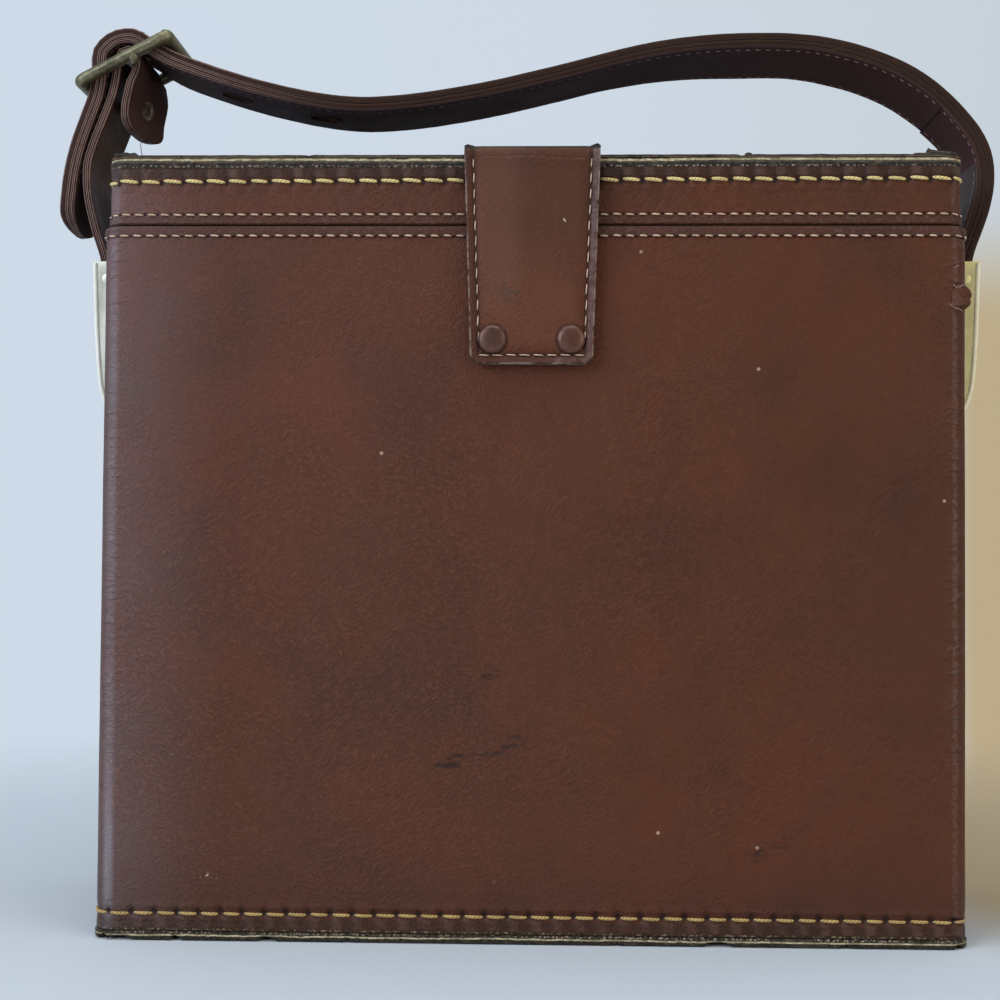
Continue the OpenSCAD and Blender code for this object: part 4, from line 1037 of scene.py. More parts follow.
def rimShape(x, y, ny, run, out, z):
    if out < -0.5 * mm:
        return 0, 0
    bumpy = 0.13 * mm * noise.noise((run * 260, z * 420, 4)) + 0.10 * mm * noise.noise((run * 900, z * 900, 9))
    low = max(0, 1 - (z - rimLow.z) / (0.7 * rimT))
    return bumpy, (0.45 * mm + climb(x) * 0.8) * low


wall("lidRim", fineLid, rimProfile, rimShape, body="lid", stands=["lid_rim"], slot="rim",
              material=rimTopFinish)

notches = [(55.6, 1.6, 0.8), (101.7, 1.3, 0.35), (88, 1.0, 0.3), (-60, 1.2, 0.3)]


def skinShape(x, y, ny, run, out, z):
    if out < -1.4 * mm:
        return 0, 0
    cut = 0
    if y < lidY - lidD / 2 + 2 * mm:
        for cx, w, deep in notches:
            cut = max(cut, deep * mm * max(0, 1 - (abs(x / mm - cx) / (w / 2)) ** 2))
    rough = 0.12 * mm * noise.noise((run * 330, z * 200, 8))
    top = max(0, (z - rimHigh.z) / (skinHigh.z - rimHigh.z))
    return rough - cut * 0.5, (0.16 * mm * noise.noise((run * 240, 6, 2)) - cut * 0.8) * top - 0.05 * mm * top


def topMarks(f, colour, rough, height, at):
    # the cut edge of the top leather is black and frayed, and the wear runs a little way in
    x, y, z = at
    sideIn = abs(x) - (lidW / 2)
    frontIn = abs(y - lidY) - (lidD / 2)
    edge = f.calc("MAXIMUM", sideIn, frontIn) + (f.noise(300, 4, 0.7) - 0.5) * (1.6 * mm)
    black = f.ease(edge, -1.5 * mm, -0.7 * mm)
    rubbed = f.band(edge, -2.6 * mm, 0.5 * mm, 1.4 * mm) * f.ease(f.noise(210, 4, 0.7), 0.45, 0.6)
    colour = f.mix(rubbed * 0.45, colour, mark["topRubbed"])
    colour = f.mix(black * 0.92, colour, mark["topBlack"])
    worn = black * f.ease(f.noise(700, 3, 0.8), 0.56, 0.7) * 0.5
    colour = f.mix(worn, colour, mark["topWorn"])
    wander = (f.noise(60, 3, 0.6) - 0.5) * (0.5 * mm)
    line = f.band(z + wander, rimHigh.z + 0.4 * mm, 0.12 * mm, 0.1 * mm) * f.ease(f.noise(140, 3, 0.7), 0.34, 0.5)
    colour = f.mix(line * 0.55, colour, mark["topLine"])
    return colour, rough + black * 0.12, height + black * f.noise(500, 4, 0.7) * 1.5


topLeather = leatherette("topLeather", marks=topMarks, tint=0.97)
skinProfile = [
    (-14 * mm, rimHigh.z), (-2 * mm, rimHigh.z), (-0.5 * mm, rimHigh.z), (-0.06 * mm, rimHigh.z + 0.15 * mm),
    (0, rimHigh.z + 0.45 * mm), (-0.05 * mm, skinHigh.z - 0.3 * mm), (-0.4 * mm, skinHigh.z - 0.04 * mm),
    (-1.0 * mm, skinHigh.z - 0.02 * mm), (-2.4 * mm, skinHigh.z - 0.1 * mm), (-6 * mm, skinHigh.z - 0.1 * mm),
    (-14 * mm, skinHigh.z - 0.06 * mm)]


def topSkin():
    # the inner part of the top is a grid, a little uneven where the leather was glued down
    points = []
    for out, z in skinProfile:
        for x, y, nx, ny, run in fineLid[:-1]:
            dx, dz = skinShape(x, y, ny, run, out, z)
            if out < -3 * mm and z > rimHigh.z + 0.5 * mm:
                dz += 0.08 * mm * noise.noise((x * 35, y * 35, 3))
            if out < -7 * mm:  # straight inner line, so that the middle closes cleanly
                w, d = lidW / 2 + out, lidD / 2 + out
                points.append((max(-w, min(w, x)), lidY + max(-d, min(d, y - lidY)), z))
            else:
                points.append((x + nx * (out + dx), y + ny * (out + dx), z + dz))
    faces = ringFaces(len(skinProfile), len(fineLid) - 1)
    makePiece("topSkin", points, faces, "lid", stands=["lid_top_skin"], slot="leatherette", material=topLeather)


topSkin()


def climbing(spots, share):
    return [((x, y, z + climb(x, share)), along, out) for (x, y, z), along, out in spots]


stitchRow("lidStitches", climbing(spotsRound(lidPlan, lidRowHeavy, heavyPitch, -0.2 * mm), 1), stitchHeavy,
          "lid", heavyThread)
stitchRow("lidFineStitches", climbing(spotsRound(lidPlan, lidRowFine, finePitch, 0.02 * mm), 0.25), stitchFine,
          "lid", fineThread)
print("the lid is covered and stitched")


# the tab

flapLow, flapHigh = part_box("tab_flap")
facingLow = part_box("tab_facing")[0]
axisY = (flapLow.y + flapHigh.y) / 2
rollR = (flapHigh.y - flapLow.y) / 2
axisZ = flapHigh.z - rollR
tab = {"topHalf": flapHigh.x, "lowHalf": 16.3 * mm, "cornerR": 2.8 * mm, "seam": 2.35 * mm,
       "back": -42.5 * mm, "edge": -44.0 * mm, "rivetX": 10.45 * mm, "capR": 3.7 * mm,
       "inset": (0, 0.25, 0.6, 1.1, 1.7, 2.15, 2.5, 2.9, 3.5, 4.6, 30),
       "leftRise": (0.75, 1.12, 1.2, 0.98, 0.6, 0.30, 0.30, 0.66, 0.92, 1.02, 1.05),
       "rightRise": (0.85, 1.22, 1.26, 1.0, 0.58, 0.25, 0.27, 0.66, 0.92, 1.02, 1.05)}
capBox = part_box("tab_rivets")
rivetZ = capBox[0].z + tab["capR"]


tabTone = {
    "seam": (34, 22, 20), "border": (60, 45, 42), "rightBorderHighlight": (126, 106, 104), "outer": (158, 138, 126),
    "crease": (150, 118, 100), "topLine": (22, 19, 17), "scuff": (46, 42, 30), "speck": (168, 138, 118),
    "low": (100, 56, 36), "high": (76, 46, 30), "capRingShade": (30, 19, 16), "chip": (200, 184, 168),
    "panelSheen": (122, 84, 70),
}


def tabHalf(z):
    t = (z - flapLow.z) / (axisZ - flapLow.z)
    return tab["lowHalf"] + (tab["topHalf"] - tab["lowHalf"]) * min(max(t, 0), 1)


def tabRise(d, x, z, side):
    # how far the leather stands forward at a distance from the edge: curled edge, seam, padded middle
    rise = float(np.interp(d / mm, tab["inset"], tab["rightRise" if side > 0 else "leftRise"])) * mm
    if d > 2.4 * mm:
        for cx in (-tab["rivetX"], tab["rivetX"]):
            r = math.hypot(x - cx, z - rivetZ)
            rise -= 0.22 * mm * math.exp(-((r - 4.1 * mm) / (1.0 * mm)) ** 2)
        rise += 0.05 * mm * noise.noise((x * 70, z * 50, 1))
    return rise + 0.04 * mm * noise.noise((x * 260, z * 260, 5))


def tabMesh():
    gaps = [0, 0.12, 0.3, 0.6, 0.95, 1.35, 1.75, 2.05, 2.3, 2.55, 2.85, 3.2, 3.8, 4.8]
    inner = np.linspace(-1, 1, 25)
    rows = []
    for a in range(35, 181, 12):  # over the roll
        t = math.radians(a)
        rows.append(("roll", math.cos(t), math.sin(t)))
    straight = rowOf(axisZ - 1.2 * mm, flapLow.z + 5.6 * mm, 1.6 * mm)
    bottom = [flapLow.z + g * mm for g in reversed(gaps)]
    rows += [("flat", z, 0) for z in straight + bottom]
    front, back = [], []
    low = flapLow.z
    for kind, a, b in rows:
        z = axisZ if kind == "roll" else a
        half = tabHalf(z)
        db = z - low
        r = tab["cornerR"]
        if db < r:
            half = half - r + math.sqrt(max(0, r * r - (r - db) ** 2))
        xs = [-half + g * mm for g in gaps[:-1]] + [(half - gaps[-1] * mm) * u for u in inner] + \
             [half - g * mm for g in reversed(gaps[:-1])]
        for x in xs:
            side = tabHalf(z) - abs(x)
            d = min(side, db) if side > r or db > r else r - math.hypot(r - side, r - db)
            if kind == "roll":
                d = side
            rise = tabRise(max(d, 0), x, z, x)
            if kind == "roll":
                reach = rollR - 0.25 * mm + 0.2 * mm * min(rise / (1.05 * mm), 1)
                front.append((x, axisY + a * reach, axisZ + b * reach))
                back.append((x, axisY + a * 1.0 * mm, axisZ + b * 1.0 * mm))
            else:
                shoulder = max(0, 1 - (axisZ - z) / (5 * mm)) ** 2 * 0.7 * mm
                front.append((x, max(tab["edge"] - rise - shoulder, -(rollR - axisY)), z))
                back.append((x, tab["back"], z))
    return front + back, len(rows), len(xs)


def buildTab(material):
    points, deep, across = tabMesh()
    faces = sheetFaces(deep, across)
    # the roll itself, seen from behind when the tab is up
    start, sides, half = len(points), 28, tab["topHalf"] - 0.1 * mm
    for x in (-half, half):
        points += [(x, axisY + (rollR - 0.35 * mm) * math.cos(2 * math.pi * k / sides),
                    axisZ + (rollR - 0.35 * mm) * math.sin(2 * math.pi * k / sides)) for k in range(sides)]
    faces += ringFaces(2, sides, start=start)
    return makePiece("tabLeather", points, faces, "tab", stands=["tab_flap", "tab_facing"], slot="binding",
                     material=material, sharp=50)


def tabMarks(f, colour, rough, height, at):
    # a padded panel with a wide border, dented at the seam, pale where the edges are rubbed; a painted highlight on
    # the right border, painted shade round the caps and a painted sheen on the panel
    x, _, z = at
    low = z - flapLow.z
    halfAt = low * ((tab["topHalf"] - tab["lowHalf"]) / (axisZ - flapLow.z)) + tab["lowHalf"]
    inset = f.calc("MINIMUM", halfAt - abs(x), low)
    worn = f.noise(360, 4, 0.75)
    colour = f.mix(f.band(inset, 2.35 * mm, 0.15 * mm, 0.5 * mm) * 0.6, colour, tabTone["seam"])
    border = f.ease(inset, 2.1 * mm, 1.7 * mm)
    colour = f.mix(border * 0.35, colour, tabTone["border"])
    # the right border curls up towards the light: a painted highlight, broken up by the noise
    right = border * f.ease(x, 0.004, 0.010)
    colour = f.mix(right * f.ease(worn, 0.3, 0.75) * 0.55, colour, tabTone["rightBorderHighlight"])
    outer = f.ease(inset, 0.55 * mm, 0.1 * mm)
    colour = f.mix(outer * f.ease(worn, 0.4, 0.58) * 0.85, colour, tabTone["outer"])
    wavy = (f.noise(40, 2) - 0.5) * (2.2 * mm)
    crease = f.band(z + wavy, axisZ - 1.1 * mm, 0.05 * mm, 0.4 * mm) * f.ease(abs(x), 0.0165, 0.013)
    colour = f.mix(crease * f.ease(worn, 0.4, 0.65) * 0.3, colour, tabTone["crease"])
    black = f.ease(z, flapHigh.z - 1.3 * mm, flapHigh.z - 0.8 * mm)
    colour = f.mix(black * 0.85, colour, tabTone["topLine"])
    dx, dz = (x + 0.0058) * 200, (z - 0.1728 + (x + 0.0058) * 0.35) * 380
    ragged = (f.noise(330, 3, 0.6) - 0.5) * 9
    scuff = f.ease(dx * dx + dz * dz + ragged, 0.8, 0.35)
    colour = f.mix(scuff * 0.8, colour, tabTone["scuff"])
    colour = f.mix(f.ease(f.noise(1500, 2, 0.5), 0.75, 0.79) * 0.5, colour, tabTone["speck"])
    centre = f.ease(inset, 3 * mm, 7 * mm) * f.ease(f.noise(60, 3, 0.6), 0.35, 0.65, 0.5, 1)
    colour = f.mix(centre * 0.65, colour, f.mix(f.ease(z, 0.165, 0.195), tabTone["low"], tabTone["high"]))
    # a dark ring in the dent round each cap, a painted shade
    nearCap = abs(x) - tab["rivetX"]
    away = nearCap * nearCap + (z - rivetZ) * (z - rivetZ)
    colour = f.mix(f.band(away, (4.1 * mm) ** 2, 0.8e-6, 1.6e-6) * 0.6, colour, tabTone["capRingShade"])
    ex, ez = (x - 0.0086 + (z - 0.1928) * 0.6) * 4200, (z - 0.1928) * 1700
    colour = f.mix(f.ease(ex * ex + ez * ez, 1.0, 0.6) * 0.8, colour, tabTone["chip"])
    # a painted sheen on the upper left of the panel
    panelSheen = f.ease(x, 0.0002, -0.0075) * f.ease(z, 0.162, 0.172) * f.ease(inset, 3 * mm, 4 * mm)
    colour = f.mix(panelSheen * 0.18, colour, tabTone["panelSheen"])
    return colour, rough - right * 0.08 + scuff * 0.1, height + border * f.noise(700, 2) * 0.9 - crease * 0.7


tabLeather = buildTab(leatherette("tabLeather", marks=tabMarks, tint=0.93, depth=0.25 * mm))
slit = boxTool((-13.2 * mm, -46 * mm, 0.1573), (-12.7 * mm, -44.2 * mm, 0.1607))
carve(tabLeather, slit)


def tabSeam(pitchSide=4.25 * mm, pitchLow=3.42 * mm, inset=2.35 * mm):
    # down the left side, along the bottom, up the right side
    spots, y = [], tab["edge"] - 0.42 * mm
    z = axisZ - 2.2 * mm
    while z > flapLow.z + 5.2 * mm:
        x = tabHalf(z) - inset
        for side in (-1, 1):
            spots.append(((side * x, y, z), (side * 0.02, 0, 1), (0, -1, 0)))
        z -= pitchSide
    count = round(2 * (tab["lowHalf"] - 3.6 * mm) / pitchLow)
    for i in range(count + 1):
        x = (i / count * 2 - 1) * (tab["lowHalf"] - 3.6 * mm)
        spots.append(((x, y, flapLow.z + inset), (1, 0, 0), (0, -1, 0)))
    return spots


stitchRow("tabStitches", tabSeam(), dict(stitchFine, length=3.1 * mm, width=0.36 * mm, stray=0.14 * mm), "tab",
          fineThread, "binding")

capMetal = metal("capMetal", (92, 58, 44), (74, 47, 36), (120, 88, 74), 0.3, 0.6, 0.35, flecks=0.35,
                 spot=(150, 128, 108))
capLine = [(0, 1.12), (1.4, 1.08), (2.5, 0.98), (3.1, 0.82), (3.4, 0.62), (3.65, 0.4), (3.82, 0.12), (3.86, -0.15),
           (3.8, -0.4), (3.4, -0.5)]
for side, name in ((-1, "leftCap"), (1, "rightCap")):
    turned(name, [(r * mm, (a - 0.1) * mm) for r, a in capLine],
           (side * tab["rivetX"], facingLow.y + 0.35 * mm, rivetZ), (0, -1, 0.03), "tab", 48,
           stands=["tab_rivets"], slot="cap", material=capMetal)
steel = metal("steel", (150, 148, 142), (118, 116, 110), (186, 184, 178), 0.36, 0.4)
for side, name in ((-1, "leftShank"), (1, "rightShank")):
    turned(name, [(1.4 * mm, 0), (1.4 * mm, facingLow.y * -1 - 42.0 * mm)],
           (side * tab["rivetX"], facingLow.y + 0.4 * mm, rivetZ), (0, 1, 0), "tab", 24,
           stands=["tab_rivets"], slot="cap", material=steel)
refined("tabKeeper", ["tab_keeper"], "tab", 0.15 * mm, 2, "steel", steel)
plainLeather = leatherette("plainLeather", tint=0.9)
refined("tabBacking", ["tab_backing"], "tab", 0.2 * mm, 2, "binding", plainLeather)
refined("tabRoot", ["tab_anchor"], "lid", 0.5 * mm, 3, "binding", plainLeather)
rootLow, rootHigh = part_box("tab_anchor")
rootSeam = [(side * (rootHigh.x - 2.4 * mm), y, (0, 1, 0)) for side in (-1, 1)
            for y in rowOf(rootLow.y + 4 * mm, rootHigh.y - 4 * mm, 3.6 * mm)]
rootSeam += [(x, rootHigh.y - 2.4 * mm, (1, 0, 0)) for x in rowOf(-13.5 * mm, 13.5 * mm, 3.4 * mm)]
rootSpots = [((x, y, rootHigh.z + 0.02 * mm), d, (0, 0, 1)) for x, y, d in rootSeam]
stitchRow("rootStitches", rootSpots, stitchFine, "lid", fineThread, "binding")
print("the tab is stitched and capped")


# the straps

def smoothed(points, steps=6):
    found = []
    for i in range(len(points) - 1):
        a, b, c, d = (np.array(points[k]) for k in (max(i - 1, 0), i, i + 1, min(i + 2, len(points) - 1)))
        for j in range(steps + (i == len(points) - 2)):
            t = j / steps
            found.append(0.5 * (2 * b + (c - a) * t + (2 * a - 5 * b + 4 * c - d) * t * t
                                + (3 * b - a - 3 * c + d) * t ** 3))
    return found


barLow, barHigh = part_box("buckle_frame")
barX, barZ = (barLow.x + barHigh.x) / 2, (barLow.z + barHigh.z) / 2
strapPinZ = (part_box("strap_pins")[0].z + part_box("strap_pins")[1].z) / 2
strap = {
    "half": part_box("long_strap")[1].y, "thick": 4.4 * mm, "shortThick": 2.4 * mm, "folded": 1 * mm,
    "over": 6.55 * mm, "fold": 2.85 * mm,
    "rightStart": [(5.7, strapPinZ / mm - 211.5), (6.1, -22.5), (10.3, -10.5)],
    "rightRun": [(12, -1.5), (11, 7.1), (5.9, 15.8), (-4.6, 26.1), (-18.5, 33.5), (-36.5, 38.1), (-58, 38.9),
                 (-81.5, 36.6), (-108.5, 30.1)],
    "leftRun": [(100.5, 24.7), (76.5, 21.3), (58.5, 21.5), (36.5, 26.1), (16.1, 32.7), (7.5, 36.8)],
    "tailRun": [(-9.1, 30.1), (-9.9, 24.1), (-12.5, 16.8), (-15.1, 9.3), (-16.9, 1.5), (-17.9, -8.5),
                (-17.5, -15.1)],
    "shortRun": [(-6.7, strapPinZ / mm - 211.5), (-7.0, -23.5), (-9.8, -14.7), (-11.9, -5.9), (-12.4, 1.9),
                 (-11.4, 7.3), (-8.4, 15.4), (-5.3, 23.7), (-4.2, 29)],
    "foldRun": [(2.6, 30.7), (1.6, 24.9), (0.7, 20), (0.9, 13.3)],
    "holes": (28.9 * mm, 54.2 * mm), "holeLong": 8.4 * mm, "holeWide": 4.4 * mm,
}


def fromSide(side, points):
    return [(side * caseW / 2 + x * mm, skinHigh.z + z * mm) for x, z in points]


def roundBar(r, angles):
    return [(barX + r * math.cos(math.radians(a)), barZ + r * math.sin(math.radians(a))) for a in angles]


longPath = smoothed(fromSide(1, strap["rightStart"] + strap["rightRun"]) + fromSide(-1, strap["leftRun"])
                    + [(x - 1.9 * mm * max(0, (a - 70) / 100), z + 0.4 * mm) for a in range(66, 171, 26)
                       for x, z in roundBar(strap["over"], [a])] + fromSide(-1, strap["tailRun"]))
shortPath = smoothed(fromSide(-1, strap["shortRun"]) + roundBar(strap["fold"], range(185, -16, -33))
                     + fromSide(-1, strap["foldRun"]))


def measured(path):
    runs = [0]
    for a, b in zip(path, path[1:]):
        runs.append(runs[-1] + float(np.linalg.norm(b - a)))
    return runs


def at(path, runs, s):
    # point, direction and the side that lies to the right of travel
    x, z = (float(np.interp(s, runs, [p[k] for p in path])) for k in (0, 1))
    step = 0.6 * mm
    a = [float(np.interp(max(s - step, 0), runs, [p[k] for p in path])) for k in (0, 1)]
    b = [float(np.interp(min(s + step, runs[-1]), runs, [p[k] for p in path])) for k in (0, 1)]
    d = Vector((b[0] - a[0], b[1] - a[1])).normalized()
    return Vector((x, z)), d, Vector((d.y, -d.x))


def edgeLine(top, low, grooves):
    # (inset, offset, wear) from the upper corner of a strap's edge to the lower one
    line = [(1.1, top, 0), (0.5, top - 0.05, 0.35), (0.16, top - 0.2, 1.0), (0.02, top - 0.5, 0.5)]
    for g in grooves:
        line += [(0.0, g + 0.42, 0), (0.02, g + 0.3, 0.9), (0.06, g + 0.15, 0.8), (0.32, g, -1),
                 (0.06, g - 0.15, 0.8), (0.02, g - 0.3, 0.9), (0.0, g - 0.42, 0)]
    return line + [(0.02, low + 0.5, 0.2), (0.16, low + 0.2, 0.9), (0.5, low + 0.05, 0.3), (1.1, low, 0)]


def sag(x):
    # how far the strap's back edge hangs inwards, by its place across the case
    places = [(-130, 0), (0, 0.3), (18, 0.3), (36, -0.9), (53, -1.8), (62, -2.1), (75, -1.8), (88, -1.9),
              (105, -1.6), (114, -1.4), (121, -0.5), (128, 0)]
    return read(places, x / mm) * mm


def band(name, path, spans, top, low, grooves, body, half, tip=0, taper=0, rise=0.14, twist=None, hang=None,
         **more):
    # a leather strip along a path, its edge layered, its far end rounded seen from above
    runs = measured(path)
    start, end = spans
    stops = rowOf(start, end - tip if tip else end, 2.2 * mm)
    if tip:
        stops += [end - tip * t for t in (0.8, 0.6, 0.42, 0.28, 0.16, 0.08, 0.03, 0.0)]
    line = [(i * mm, n * mm, w) for i, n, w in edgeLine(top / mm, low / mm, [g / mm for g in grooves])]
    points, wear, side = [], [], []
    for s in stops:
        p, _, n = at(path, runs, s)
        h = half
        skew = twist(s) if twist else 0
        if tip and s > end - tip:
            t = (s - (end - tip)) / tip
            h = half * (1 - 0.985 * t ** 2.6) ** 0.5 if t < 1 else half * 0.12
        ring = []
        thin = 0.0
        if taper and s > end - taper:
            thin = 0.55 * ((s - (end - taper)) / taper) ** 2
        wave = 0.18 * mm * noise.noise((s * 60, half * 90, 1))
        for inset, off, w in line:
            ring.append((-h + inset, off, w, 0.5))
        for u in (-0.62, -0.3, 0, 0.3, 0.62):
            ring.append((u * h, low + 0.05 * mm, 0, 1))
        for inset, off, w in reversed(line):
            ring.append((h - inset, off, w, 0.5))
        for u in (0.62, 0.3, 0, -0.3, -0.62):
            ring.append((u * h, top + rise * mm * (1 - u * u), 0, 0))
        middle = (top + low) / 2
        for y, off, w, face in ring:
            off = middle + (off - middle) * (1 - thin)
            rough = 0.05 * mm * noise.noise((s * 300, y * 200, off * 900))
            q = p + n * (off + rough + skew * y / half + (hang(p.x) * (y / half + 1) / 2 if hang else 0))
            points.append((q.x, y + wave, q.y))
            wear.append(w)
            side.append((s, 1 if (face == 1 or (face == 0.5 and off < low + 0.35 * mm)) else 0))
    faces = ringFaces(len(stops), len(ring))
    return makePiece(name, points, faces, body, uv=side, wear=wear, sharp=62, **more)


holeSpots = [barX + x for x in strap["holes"]]
strapLeather = strapFinish("strapLeather", (60, 42, 41), 0.3, 0.07)
longRuns, shortRuns = measured(longPath), measured(shortPath)
strapSkin = {"slot": "strap_leather", "material": strapLeather}
longStrap = band("longStrap", longPath, (0, longRuns[-1]), strap["thick"] / 2, -strap["thick"] / 2,
                 [0.1 * mm, -1.15 * mm], "strap", strap["half"], tip=6.8 * mm, taper=5 * mm, hang=sag,
                 stands=["long_strap"], **strapSkin)


def crossing(path, x):
    return next(i for i in range(len(path) - 1) if path[i][0] >= x > path[i + 1][0])


def ovalTool(p, d, n, reach):
    half, r = (strap["holeLong"] - strap["holeWide"]) / 2, strap["holeWide"] / 2
    line = [(half + r * math.cos(math.radians(a)), r * math.sin(math.radians(a))) for a in range(-90, 91, 15)]
    line += [(-u, -v) for u, v in line]
    ends = []
    for side in (-1, 1):
        spots = [(p + d * u + n * side * reach, v) for u, v in line]
        ends.append([(q.x, v, q.y) for q, v in spots])
    return prism(*ends)


holeRuns = [longRuns[crossing(longPath, barX + x)] for x in strap["holes"]]
for run in holeRuns + [longRuns[-1] - 18 * mm]:
    carve(longStrap, ovalTool(*at(longPath, longRuns, run), 8 * mm))
buckleTilt = math.radians(27.5)


def atBar(x, z):
    # a point given along and over the buckle's plane
    c, s = math.cos(buckleTilt), math.sin(buckleTilt)
    return (barX + x * c - z * s, barZ + x * s + z * c)


def prongRoom(half):
    c, s = math.cos(math.radians(30)), math.sin(math.radians(30))
    line = [(0, -0.4), (17, 0.6), (17 * c - 4.1 * s, 17 * s + 4.1 * c), (-4.1 * s, 4.1 * c)]
    line = [atBar(x * mm, z * mm) for x, z in line]
    return prism(*[[(x, y, z) for x, z in line] for y in (-half, half)])


carve(longStrap, prongRoom(1.8 * mm))
foldTop = longRuns[next(i for i in range(len(longPath)) if longPath[i][1] > skinHigh.z + 19.5 * mm)]
glossLeather = strapFinish("glossLeather", (50, 36, 35), 0.1, 0.16)
cutTop = longRuns[next(i for i in range(len(longPath)) if longPath[i][1] > skinHigh.z + 3.2 * mm)]
inner = -strap["thick"] / 2
for name, span, deep, leather in (("strapReturn", (0, cutTop), strap["folded"], glossLeather),
                                  ("strapSplice", (cutTop - 2 * mm, foldTop), 0.12 * mm, strapLeather)):
    band(name, longPath, span, inner + 0.15 * mm, inner - deep, [], "strap", strap["half"] - 0.02 * mm, hang=sag,
         stands=["long_strap"], slot="strap_leather", material=leather)
strapThread = threadFinish("strapThread", (176, 142, 132), (112, 86, 78), 0.6 * mm, fade=(0.07, 0.02))
strapStitch = dict(stitchFine, length=1.9 * mm, width=0.3 * mm, thick=0.3 * mm, arch=0.07 * mm, dip=0.16 * mm)


def strapSeam(name, first, last, offset, pitch, inset):
    # a seam near each edge of the long strap, on the side that the offset gives
    spots, run = [], first
    out = 1 if offset > 0 else -1
    while run < last:
        p, d, n = at(longPath, longRuns, run)
        for y in (-1, 1):
            low = p + n * offset + n * (sag(p.x) * (y * (1 - inset / strap["half"]) + 1) / 2)
            spots.append(((low.x, y * (strap["half"] - inset), low.y), (d.x, 0, d.y), (out * n.x, 0, out * n.y)))
        run += pitch
    stitchRow(name, spots, strapStitch, "strap", strapThread, "strap_leather")


strapSeam("strapSeamUnder", foldTop + 3 * mm, longRuns[-1] - 12 * mm, -strap["thick"] / 2 - 0.02 * mm,
          2.9 * mm, 2.0 * mm)
strapSeam("strapSeamOver", 8 * mm, longRuns[-1] - 9 * mm, strap["thick"] / 2 + 0.08 * mm, 3.4 * mm, 2.4 * mm)
strapSeam("strapReturnSeam", 8 * mm, cutTop - 2 * mm, inner - strap["folded"] - 0.02 * mm, 2.9 * mm, 2.0 * mm)
strapSeam("strapSpliceSeam", cutTop + 1 * mm, foldTop, inner - 0.14 * mm, 2.9 * mm, 2.0 * mm)
foldStart = shortRuns[-1] - 22 * mm
shortStrap = band("shortStrap", shortPath, (0, shortRuns[-1]), strap["shortThick"] / 2, -strap["shortThick"] / 2,
                  [0.0], "strap", strap["half"], tip=5.5 * mm, rise=-0.05,
                  twist=lambda s: -2.2 * mm * min(max((s - foldStart) / (8 * mm), 0), 1),
                  stands=["short_strap", "short_strap_fold"], **strapSkin)
carve(shortStrap, pegTool(-2.1 * mm, 2.1 * mm, barX, barZ, 5.3 * mm, "Y"))
band("shortReturn", shortPath, (0, 10 * mm), 3.8 * mm, strap["shortThick"] / 2 + 0.02 * mm, [], "strap",
     strap["half"] - 0.2 * mm, tip=2 * mm, stands=["short_strap"], **strapSkin)
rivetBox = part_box("strap_rivet")
rivetMid = (rivetBox[0].z + rivetBox[1].z) / 2
darkMetal = metal("darkMetal", (104, 88, 80), (72, 60, 54), (176, 160, 146), 0.36, 0.5, 0.4, flecks=0.3)
eyeMetal = metal("eyeMetal", (46, 38, 36), (34, 28, 26), (70, 60, 56), 0.5, 0.5, 0.2)
ringLine = [(2.9, -0.5), (2.95, 0.0), (2.75, 0.28), (2.35, 0.36), (2.0, 0.24), (1.75, 0.02), (1.45, -0.02),
            (1.2, 0.16), (0.8, 0.34), (0, 0.4)]
shankLine = [(1.5, 0), (1.5, 8.6), (2.3, 8.7), (2.1, 9.3), (0, 9.4)]
rivetAt = (rivetBox[1].x + 1.1 * mm, -1.2 * mm, rivetMid + 2.6 * mm)
for name, line, axis, sides, finish in (
        ("strapRivet", ringLine, (1, -0.42, -0.1), 40, darkMetal),
        ("rivetEye", [(1.25, 0.1), (1.25, 0.42), (0, 0.5)], (1, -0.42, -0.1), 32, eyeMetal),
        ("rivetShank", shankLine, (-1, 0, 0), 32, darkMetal)):
    turned(name, inMm(line), rivetAt, axis, "strap", sides, stands=["strap_rivet"], slot="buckle", material=finish)


def tube(name, path, radius, body, closed=False, sides=14, flat=1.0, **more):
    # a bar along points, with a radius for each
    path = [Vector(p) for p in path]
    count = len(path)
    points, lift = [], None
    for i, p in enumerate(path):
        before = path[(i - 1) % count if closed else max(i - 1, 0)]
        after = path[(i + 1) % count if closed else min(i + 1, count - 1)]
        d = (after - before).normalized()
        lift = (lift - d * lift.dot(d)).normalized() if lift else d.orthogonal().normalized()
        other = d.cross(lift)
        r = radius[i] if isinstance(radius, list) else radius
        for k in range(sides):
            a = 2 * math.pi * k / sides
            points.append(p + lift * math.cos(a) * r + other * math.sin(a) * r * flat)
    return makePiece(name, points, ringFaces(count, sides, closed), body, sharp=50, **more)


for number, run in enumerate(holeRuns):
    p, d, n = at(longPath, longRuns, run)
    long, wide = (strap["holeLong"] - strap["holeWide"]) / 2, strap["holeWide"] / 2 + 0.55 * mm
    loop = []
    for a in range(0, 360, 12):
        c, h = math.cos(math.radians(a)), math.sin(math.radians(a))
        q = p + d * (math.copysign(long, c) + wide * c) - n * (strap["thick"] / 2 - sag(p.x) * 0.5)
        loop.append((q.x, wide * h, q.y))
    tube("holeRing" + str(number), loop, 0.34 * mm, "strap", closed=True, sides=8, **strapSkin)
brass = metal("buckleBrass", (116, 112, 88), (78, 76, 58), (178, 170, 136), 0.34, 0.5, 0.7, flecks=0.4,
              spot=(74, 70, 46))
buckleLook = {"stands": ["buckle_frame"], "slot": "buckle", "material": brass}
prongLook = dict(buckleLook, stands=["buckle_prong"])
railY = (barHigh.y - barLow.y) / 2 - 1.55 * mm
ring, bend = [], 1.7 * mm
